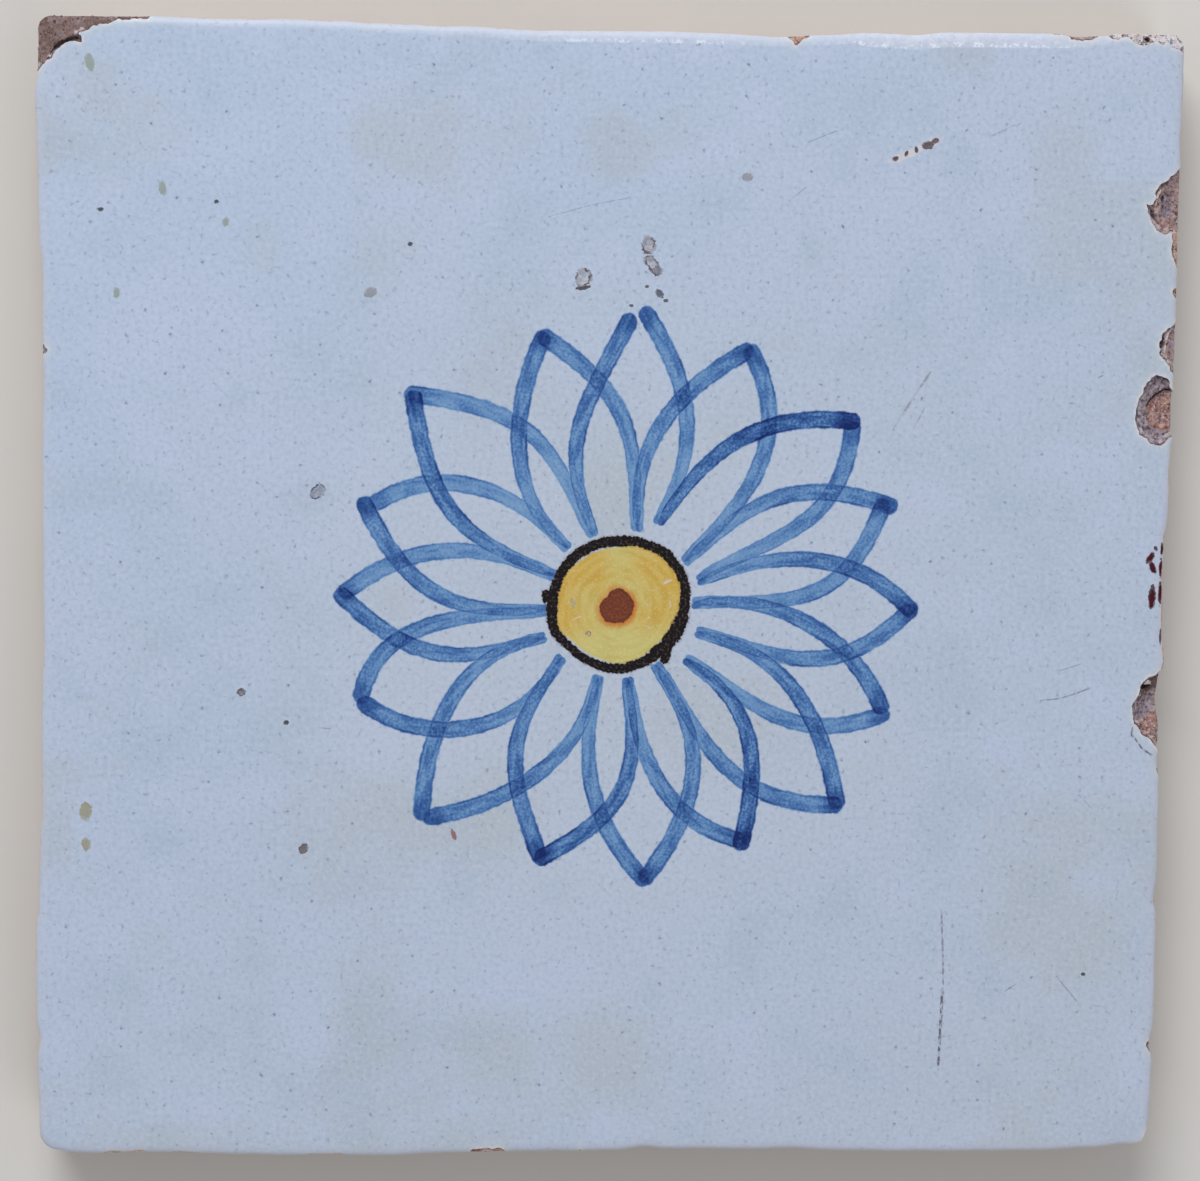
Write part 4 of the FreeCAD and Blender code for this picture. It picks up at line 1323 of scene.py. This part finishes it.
def wear_group():
    """Marks, scratches, and the glaze that runs thin at the rim and at chips, with a painted highlight on the
    rolled rim and painted glints along the top.
    """
    tree, given, result = group("Wear", {"Base": "Color", "Waver": "Float", "Crumb": "Float"},
                                {"Color": "Color", "Dull": "Float"})
    waver = weigh(tree, given["Crumb"], 0.7, times(tree, given["Waver"], 0.7))
    along, rim, over = parts(tree, attribute(tree, "scratch"))
    strength, dirt_and_glint, seed = parts(tree, attribute(tree, "scratch_nature"))
    broken = ease(tree, noise(tree, joined(tree, along, seed, 0.0), 0.8, 0), 0.36, 0.56, 0.3, 1.0)
    rim = plus(tree, compute(tree, "ABSOLUTE", rim), over)
    line = ease(tree, weigh(tree, waver, 0.9, rim), 0.55, 1.1, 1.0, 0.0)
    line = times(tree, times(tree, line, broken), times(tree, strength, 0.75))
    scratch = mix(tree, dirt_and_glint, tint(108, 120, 144), tint(104, 78, 68))
    # A value near 2 turns the scratch pale. On the yellow heart these pale scratches are painted glints.
    scratch = mix(tree, ease(tree, dirt_and_glint, 1.4, 2.0), scratch, tint(212, 204, 208))
    colour = mix(tree, compute(tree, "MINIMUM", line, 1.0), given["Base"], scratch)

    # Within 1.5 mm of the rim the glaze is painted lighter as a highlight on its roll. The thin pinkish line
    # right at the edge is glaze running thin.
    to_rim = weigh(tree, waver, 0.7, attribute(tree, "rim_distance", "Fac"))
    colour = washes(tree, colour, (to_rim, 1.5, 0.3, 0.35, (196, 200, 214)),
                    (to_rim, 0.26, 0.02, 0.6, (204, 198, 202)))
    # Along the top the roll gets a painted highlight: a pale streaky band with bright painted glints at its
    # inner border.
    painted_highlight, from_top, _ = parts(tree, attribute(tree, "top_painted_highlight"))
    streak = plus(tree, waver, 0.5)
    from_top = weigh(tree, waver, 0.25, from_top)
    pale = times(tree, painted_highlight, ease(tree, from_top, 1.05, 0.85))
    pale = times(tree, pale, ease(tree, streak, 0.3, 0.7, 0.45, 0.9))
    colour = mix(tree, pale, colour, tint(208, 214, 230))
    glint = times(tree, ease(tree, from_top, 0.6, 0.8), ease(tree, from_top, 1.08, 0.95))
    glint = times(tree, glint, ease(tree, streak, 0.52, 0.64))
    glint = times(tree, glint, ease(tree, painted_highlight, 0.35, 0.7, 0.0, 0.85))
    colour = mix(tree, glint, colour, tint(226, 236, 248))

    share, rimness, _ = parts(tree, attribute(tree, "mark"))
    share = weigh(tree, waver, 0.95, share)
    whole = ease(tree, share, 0.65, 1.12, 1.0, 0.0)
    band = times(tree, ease(tree, share, 0.66, 0.82), ease(tree, share, 1.16, 1.0))
    # A popped blister keeps a broken dark rim round a pale pinkish floor.
    popped = ease(tree, rimness, 0.4, 1.1)
    band = times(tree, band, ease(tree, given["Waver"], -0.16, 0.04, 0.45, 1.0))
    inner = times(tree, whole, compute(tree, "SUBTRACT", 1.0, times(tree, rimness, 0.4)))
    mark = times(tree, compute(tree, "MAXIMUM", inner, band), 0.9, clamp=True)
    paint = attribute(tree, "mark_tint", "Color")
    floor = mix(tree, ease(tree, waver, -0.16, 0.1, 0.25, 0.95), paint, tint(196, 188, 194))
    floor = mix(tree, popped, paint, floor)
    colour = mix(tree, mark, colour, mix(tree, band, floor, paint))

    to_chip = weigh(tree, waver, 0.4, attribute(tree, "chip_distance", "Fac"))
    colour = washes(tree, colour, (to_chip, 1.5, 0.2, 0.4, (192, 202, 212)))
    scraps = ease(tree, waver, -0.12, 0.1, 0.1, 0.85)
    pale = times(tree, ease(tree, to_chip, 0.55, 0.12), scraps)
    colour = mix(tree, pale, colour, tint(214, 212, 216))
    return finish(tree, result, {"Color": colour, "Dull": compute(tree, "MAXIMUM", mark, line)})


def clay_group(paint):
    """Fired clay by tone, from the darkest brown of painted shade in hollows over red to pale scraps, with
    pores, light and dark grains and painted shade along the glaze line.
    """
    tree, given, result = group("Fired clay", {"Place": "Vector", "Tone": "Float", "Nearness": "Float"},
                                {"Color": "Color", "Height": "Float"})
    patch = noise(tree, given["Place"], 1.5, 2, "3D")
    grain = noise(tree, given["Place"], 0.46, 2, "3D")
    tone = weigh(tree, compute(tree, "SUBTRACT", patch, 0.5), 0.7, given["Tone"])
    # Tones near 0 give the darkest brown. Pits, holes, cracks and the bite's upper bank get it as painted
    # shade in these hollows.
    colour = ramp(tree, compute(tree, "DIVIDE", tone, 1.4), (
        (0.0, srgb(84, 64, 62)), (0.16, srgb(130, 106, 100)), (0.34, tuple(paint.char)),
        (0.48, srgb(154, 132, 132)), (0.6, tuple(paint.core)), (0.68, srgb(184, 146, 128)),
        (0.77, srgb(198, 172, 160)), (0.86, srgb(206, 200, 206)), (1.0, srgb(222, 220, 226))))
    # Along the glaze line the clay is darkened in dots: a row of dark pores and painted shade under the
    # broken glaze's edge. Pale scraps of glaze are left inside it.
    dots = ease(tree, grain, 0.56, 0.44, 0.1, 1.0)
    line = times(tree, ease(tree, given["Nearness"], 0.24, 0.1), dots)
    colour = mix(tree, times(tree, line, 0.75), colour, tint(70, 56, 60))
    scraps = times(tree, ease(tree, given["Nearness"], 0.18, 0.34), ease(tree, given["Nearness"], 0.8, 0.45))
    scraps = times(tree, scraps, ease(tree, patch, 0.5, 0.62, 0.0, 0.85))
    colour = mix(tree, scraps, colour, tint(198, 192, 196))
    fired = times(tree, ease(tree, given["Tone"], 0.5, 0.8), ease(tree, given["Tone"], 1.2, 1.05))
    bold = ease(tree, given["Tone"], 0.2, 0.45, 0.35, 1.0)
    pale = mix(tree, fired, tint(178, 168, 178), tint(200, 168, 160))
    dark = mix(tree, fired, tint(66, 54, 62), tint(98, 62, 60))
    colour = mix(tree, times(tree, ease(tree, grain, 0.53, 0.68, 0.0, 0.6), bold), colour, pale)
    colour = mix(tree, times(tree, ease(tree, grain, 0.49, 0.36, 0.0, 0.75), bold), colour, dark)
    pores = add(tree, "ShaderNodeTexVoronoi", {"Vector": given["Place"], "Scale": 1 / 0.9})
    pick = parts(tree, pores.outputs["Color"])[0]
    reach = times(tree, ease(tree, pick, 0.5, 1.0), 0.3)
    pore = ease(tree, compute(tree, "SUBTRACT", pores.outputs["Distance"], reach), 0.03, -0.06)
    colour = mix(tree, times(tree, pore, 0.8), colour, tint(44, 34, 34))
    return finish(tree, result, {"Color": colour, "Height": compute(tree, "SUBTRACT", grain, pore)})


def new_material(name):
    material = bpy.data.materials.new(name)
    material.use_nodes = True
    tree = material.node_tree
    shader = tree.nodes["Principled BSDF"]
    coordinates = tree.nodes.new("ShaderNodeTexCoord").outputs["Object"]
    return material, tree, shader, scaled(tree, coordinates, 1000.0)


def glaze_material(paint):
    """Painted glaze: glaze, then petals, then the heart, then wear."""
    material, tree, shader, place = new_material("painted_glaze")
    glaze = use(tree, glaze_group(paint), Place=place)
    waver = compute(tree, "SUBTRACT", noise(tree, place, 1.2, 1), 0.5)
    crumb = compute(tree, "SUBTRACT", noise(tree, place, 0.36, 2), 0.5)
    petals = use(tree, petal_group(paint, brush_group()), Base=glaze["Color"], Waver=waver, Crumb=crumb)
    heart = use(tree, heart_group(paint), Base=petals["Color"], Place=place, Waver=waver, Crumb=crumb)
    wear = use(tree, wear_group(), Base=heart["Color"], Waver=waver, Crumb=crumb)
    shader.inputs["Specular IOR Level"].default_value = 0.25
    roughness = ease(tree, glaze["Grain"], 0.3, 0.7, 0.3, 0.4)
    roughness = weigh(tree, heart["Cover"], 0.1, roughness)
    roughness = weigh(tree, wear["Dull"], 0.3, roughness)
    _, rim, over = parts(tree, attribute(tree, "scratch"))
    scratched = ease(tree, plus(tree, compute(tree, "ABSOLUTE", rim), over), 1.0, 0.3, 0.0, -0.9)
    height = plus(tree, noise(tree, place, 1.2, 0), scratched)
    bump = add(tree, "ShaderNodeBump", {"Strength": 0.6, "Distance": 0.00003, "Height": height})
    finish(tree, shader.inputs, {
        "Base Color": wear["Color"], "Roughness": roughness, "Normal": bump.outputs[0]})
    return material


def clay_material(paint, shared):
    """Clay by zone: scars by their tone, the raw rim, and the soiled sides and back."""
    material, tree, shader, place = new_material("biscuit_clay")
    nearness, tone, zone = parts(tree, attribute(tree, "clay_zone"))
    scar_clay = use(tree, shared, Place=place, Tone=tone, Nearness=nearness)
    patch = noise(tree, place, 8.0, 1, "3D")
    grain = noise(tree, place, 0.5, 2, "3D")
    plain = mix(tree, ease(tree, patch, 0.35, 0.7), (*paint.clay, 1.0), tint(166, 138, 122))
    soil = noise(tree, place, 4.0, 2, "3D")
    plain = washes(tree, plain, (grain, 0.5, 0.72, 0.5, (222, 196, 176)),
                   (grain, 0.45, 0.28, 0.5, (120, 92, 82)), (soil, 0.55, 0.72, 0.6, (142, 128, 118)))
    rim = mix(tree, ease(tree, grain, 0.4, 0.6, 0.3, 0.9), plain, tint(208, 194, 190))
    colour = mix(tree, ease(tree, tone, -0.6, -0.2), rim, scar_clay["Color"])
    colour = mix(tree, compute(tree, "GREATER_THAN", zone, 0.5), colour, plain)
    bump = add(tree, "ShaderNodeBump", {"Strength": 0.8, "Distance": 0.00012, "Height": scar_clay["Height"]})
    finish(tree, shader.inputs, {
        "Base Color": colour, "Normal": bump.outputs[0],
        "Roughness": ease(tree, grain, 0.3, 0.7, 0.86, 0.96)})
    return material


def grit_material(shared):
    """Grains of the same clay, each with its own tone."""
    material, tree, shader, place = new_material("clay_grit")
    tone = attribute(tree, "grain_tone", "Fac")
    clay = use(tree, shared, Place=place, Tone=tone, Nearness=OFF_CHIPS)
    pale = washes(tree, clay["Color"], (tone, 0.75, 1.0, 0.7, (214, 196, 184)))
    finish(tree, shader.inputs, {
        "Base Color": pale, "Roughness": ease(tree, clay["Height"], 0.0, 1.0, 0.8, 0.95)})
    return material


def grit_tree():
    """Geometry nodes that strew small grains over the scars of the clay."""
    tree, given, result = group(
        "Clay grit", {"Geometry": "Geometry", "Density": "Float", "Smallest": "Float", "Largest": "Float",
                      "Seed": "Int", "Material": "Material"}, {"Geometry": "Geometry"}, "GeometryNodeTree")
    zone = add(tree, "GeometryNodeInputNamedAttribute", {"Name": "clay_zone"}, data_type="FLOAT_VECTOR")
    _, tone, _ = parts(tree, zone.outputs["Attribute"])
    scarred = add(tree, "FunctionNodeCompare", {0: tone, 1: -0.3}, operation="GREATER_THAN").outputs[0]
    points = add(tree, "GeometryNodeDistributePointsOnFaces", {
        "Mesh": given["Geometry"], "Selection": scarred, "Density": given["Density"], "Seed": given["Seed"]})
    grain = add(tree, "GeometryNodeMeshIcoSphere", {"Radius": 1.0, "Subdivisions": 1}).outputs["Mesh"]
    random = "FunctionNodeRandomValue"
    size = add(tree, random, {2: given["Smallest"], 3: given["Largest"], "Seed": given["Seed"]})
    shape = add(tree, random, {0: (0.6, 0.6, 0.5), 1: (1.3, 1.2, 1.0), "Seed": 3}, data_type="FLOAT_VECTOR")
    turn = add(tree, random, {0: (0.0, 0.0, 0.0), 1: (6.28, 6.28, 6.28), "Seed": 5}, data_type="FLOAT_VECTOR")
    both = scaled(tree, shape.outputs["Value"], size.outputs[1])
    own = add(tree, random, {2: -0.35, 3: 0.55, "Seed": 11})
    tinted = plus(tree, own.outputs[1], tone)
    stored = add(tree, "GeometryNodeStoreNamedAttribute", {
        "Geometry": points.outputs["Points"], "Name": "grain_tone", "Value": tinted},
        data_type="FLOAT", domain="POINT")
    placed = add(tree, "GeometryNodeInstanceOnPoints", {
        "Points": stored.outputs["Geometry"], "Instance": grain, "Rotation": turn.outputs["Value"],
        "Scale": both})
    real = add(tree, "GeometryNodeRealizeInstances", {"Geometry": placed.outputs["Instances"]})
    finished = add(tree, "GeometryNodeSetMaterial", {
        "Geometry": real.outputs["Geometry"], "Material": given["Material"]})
    return finish(tree, result, {"Geometry": finished.outputs["Geometry"]})


def own_tile(piece):
    """The piece moves with the tile's one body and stands for the tile's plain node."""
    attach(piece, "root")
    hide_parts("tile")


def shared_clay(paint):
    return bpy.data.node_groups.get("Fired clay") or clay_group(paint)


class AZULEJO_OT_glaze(bpy.types.Operator):
    """Build the painted skin of glaze"""
    bl_idname = "azulejo.build_glaze"
    bl_label = "Build glaze"

    def execute(self, context):
        scene = context.scene
        piece = build_glaze(scene.azulejo_shape, scene.azulejo_paint, glaze_material(scene.azulejo_paint))
        own_tile(piece)
        return {"FINISHED"}


class AZULEJO_OT_clay(bpy.types.Operator):
    """Build the clay body with its scars"""
    bl_idname = "azulejo.build_clay"
    bl_label = "Build clay body"

    def execute(self, context):
        scene = context.scene
        material = clay_material(scene.azulejo_paint, shared_clay(scene.azulejo_paint))
        own_tile(build_clay(scene.azulejo_shape, material))
        return {"FINISHED"}


class AZULEJO_OT_grit(bpy.types.Operator):
    """Strew grit over the scars of the clay body"""
    bl_idname = "azulejo.strew_grit"
    bl_label = "Strew clay grit"

    def execute(self, context):
        clay = bpy.data.objects.get("clay_body")
        if clay is None:
            raise RuntimeError("the clay body has to be built before its grit")
        settings = context.scene.azulejo_grit
        material = grit_material(shared_clay(context.scene.azulejo_paint))
        strewn = bpy.data.objects.new("grit_source", clay.data.copy())
        context.scene.collection.objects.link(strewn)
        modifier = strewn.modifiers.new("Grit", "NODES")
        modifier.node_group = grit_tree()
        values = {"Density": settings.density / MM ** 2, "Smallest": settings.smallest,
                  "Largest": settings.largest, "Seed": settings.seed, "Material": material}
        for item in modifier.node_group.interface.items_tree:
            if item.in_out == "INPUT" and item.name in values:
                modifier[item.identifier] = values[item.name]
        context.view_layer.update()
        mesh = bpy.data.meshes.new_from_object(strewn.evaluated_get(context.evaluated_depsgraph_get()))
        bpy.data.objects.remove(strewn)
        mesh.name = "clay_grit"
        places = np.empty(len(mesh.vertices) * 3, np.float32)
        mesh.vertices.foreach_get("co", places)
        places = places.reshape(-1, 3)
        limit = HALF_SIDE * MM
        places[:, :2] = np.clip(places[:, :2], -limit, limit)
        places[:, 2] = np.clip(places[:, 2], 0, FACE_HEIGHT * MM - 0.0001)
        mesh.vertices.foreach_set("co", places.ravel())
        piece = bpy.data.objects.new("clay_grit", mesh)
        context.scene.collection.objects.link(piece)
        own_tile(piece)
        return {"FINISHED"}


class AZULEJO_OT_stage(bpy.types.Operator):
    """Set the floor, the light and the camera"""
    bl_idname = "azulejo.set_stage"
    bl_label = "Set stage"

    def execute(self, context):
        settings = context.scene.azulejo_stage
        build_floor(settings)
        set_light(context.scene, settings)
        set_camera(context.scene, settings)
        return {"FINISHED"}


def build_floor(settings):
    """Pale floor that curves up far from the tile."""
    half = settings.floor_side / 2
    row = FLOOR_CELLS + 1
    reach = np.linspace(-half, half, row)
    x, y = np.meshgrid(reach, reach)
    rise = 0.6 * smooth(np.hypot(x, y), 0.6 * half, 1.5 * half) * half
    corners = np.stack((x, y, rise - 0.00002), axis=2).reshape(-1, 3)
    faces = [(r * row + c, r * row + c + 1, (r + 1) * row + c + 1, (r + 1) * row + c)
             for r in range(FLOOR_CELLS) for c in range(FLOOR_CELLS)]
    material, tree, shader, place = new_material("floor")
    cloth = noise(tree, place, 60.0, 0)
    colour = washes(tree, (*settings.floor, 1.0), (cloth, 0.3, 0.7, 0.25, (204, 203, 200)))
    shader.inputs["Roughness"].default_value = 0.9
    finish(tree, shader.inputs, {"Base Color": colour})
    floor = new_piece("floor", corners / MM, faces, material)


def set_light(scene, settings):
    """Even sky, one broad lamp beyond the tile's top edge and a weak one opposite."""
    world = bpy.data.worlds.new("Even sky")
    world.use_nodes = True
    backdrop = world.node_tree.nodes["Background"]
    backdrop.inputs["Color"].default_value = tint(250, 251, 255)
    backdrop.inputs["Strength"].default_value = settings.sky
    scene.world = world
    for name, power in (("Key", settings.key_power), ("Fill", settings.fill_power)):
        size, place = LAMPS[name]
        data = bpy.data.lights.new(name, "AREA")
        data.energy = power
        data.shape = "DISK"
        data.size = size
        lamp = bpy.data.objects.new(name, data)
        lamp.location = place
        lamp.rotation_euler = (-Vector(place)).to_track_quat("-Z", "Y").to_euler()
        scene.collection.objects.link(lamp)
    scene.view_settings.view_transform = "Standard"


def set_camera(scene, settings):
    """Camera over the tile, a little beyond its top left, looking almost straight down."""
    data = bpy.data.cameras.new("Camera")
    data.sensor_fit = "HORIZONTAL"
    data.angle = settings.lens_angle
    data.clip_start = 0.01
    camera = bpy.data.objects.new("Camera", data)
    turns = [Matrix.Rotation(math.radians(angle), 4, axis) for angle, axis in zip(CAMERA_TURNS, "XYZ")]
    turn = turns[0] @ turns[1] @ turns[2]
    camera.matrix_world = Matrix.Translation(Vector(CAMERA_PLACE) * MM) @ turn
    scene.collection.objects.link(camera)
    scene.camera = camera


class AZULEJO_PT_panel(bpy.types.Panel):
    """Lists the steps that build the tile"""
    bl_label = "Azulejo tile"
    bl_idname = "AZULEJO_PT_panel"
    bl_space_type = "VIEW_3D"
    bl_region_type = "UI"
    bl_category = "Azulejo"

    def draw(self, context):
        for step in STEPS:
            self.layout.operator(step.bl_idname)
        for name in ("azulejo_shape", "azulejo_grit", "azulejo_paint", "azulejo_stage"):
            box = self.layout.box()
            settings = getattr(context.scene, name)
            for key in settings.bl_rna.properties.keys():
                if key not in ("rna_type", "name"):
                    box.prop(settings, key)


STEPS = (AZULEJO_OT_clay, AZULEJO_OT_glaze, AZULEJO_OT_grit, AZULEJO_OT_stage)
SETTINGS = {"azulejo_shape": AzulejoShape, "azulejo_grit": AzulejoGrit, "azulejo_paint": AzulejoPaint,
            "azulejo_stage": AzulejoStage}


def register():
    for item in (*SETTINGS.values(), *STEPS, AZULEJO_PT_panel):
        bpy.utils.register_class(item)
    for name, item in SETTINGS.items():
        setattr(bpy.types.Scene, name, bpy.props.PointerProperty(type=item))


def unregister():
    for name in SETTINGS:
        delattr(bpy.types.Scene, name)
    for item in reversed((*SETTINGS.values(), *STEPS, AZULEJO_PT_panel)):
        bpy.utils.unregister_class(item)


def main():
    register()
    for build in (bpy.ops.azulejo.build_clay, bpy.ops.azulejo.build_glaze, bpy.ops.azulejo.strew_grit,
                  bpy.ops.azulejo.set_stage):
        if build() != {"FINISHED"}:
            raise RuntimeError(f"{build} didn't finish")


if __name__ == "__main__":
    main()
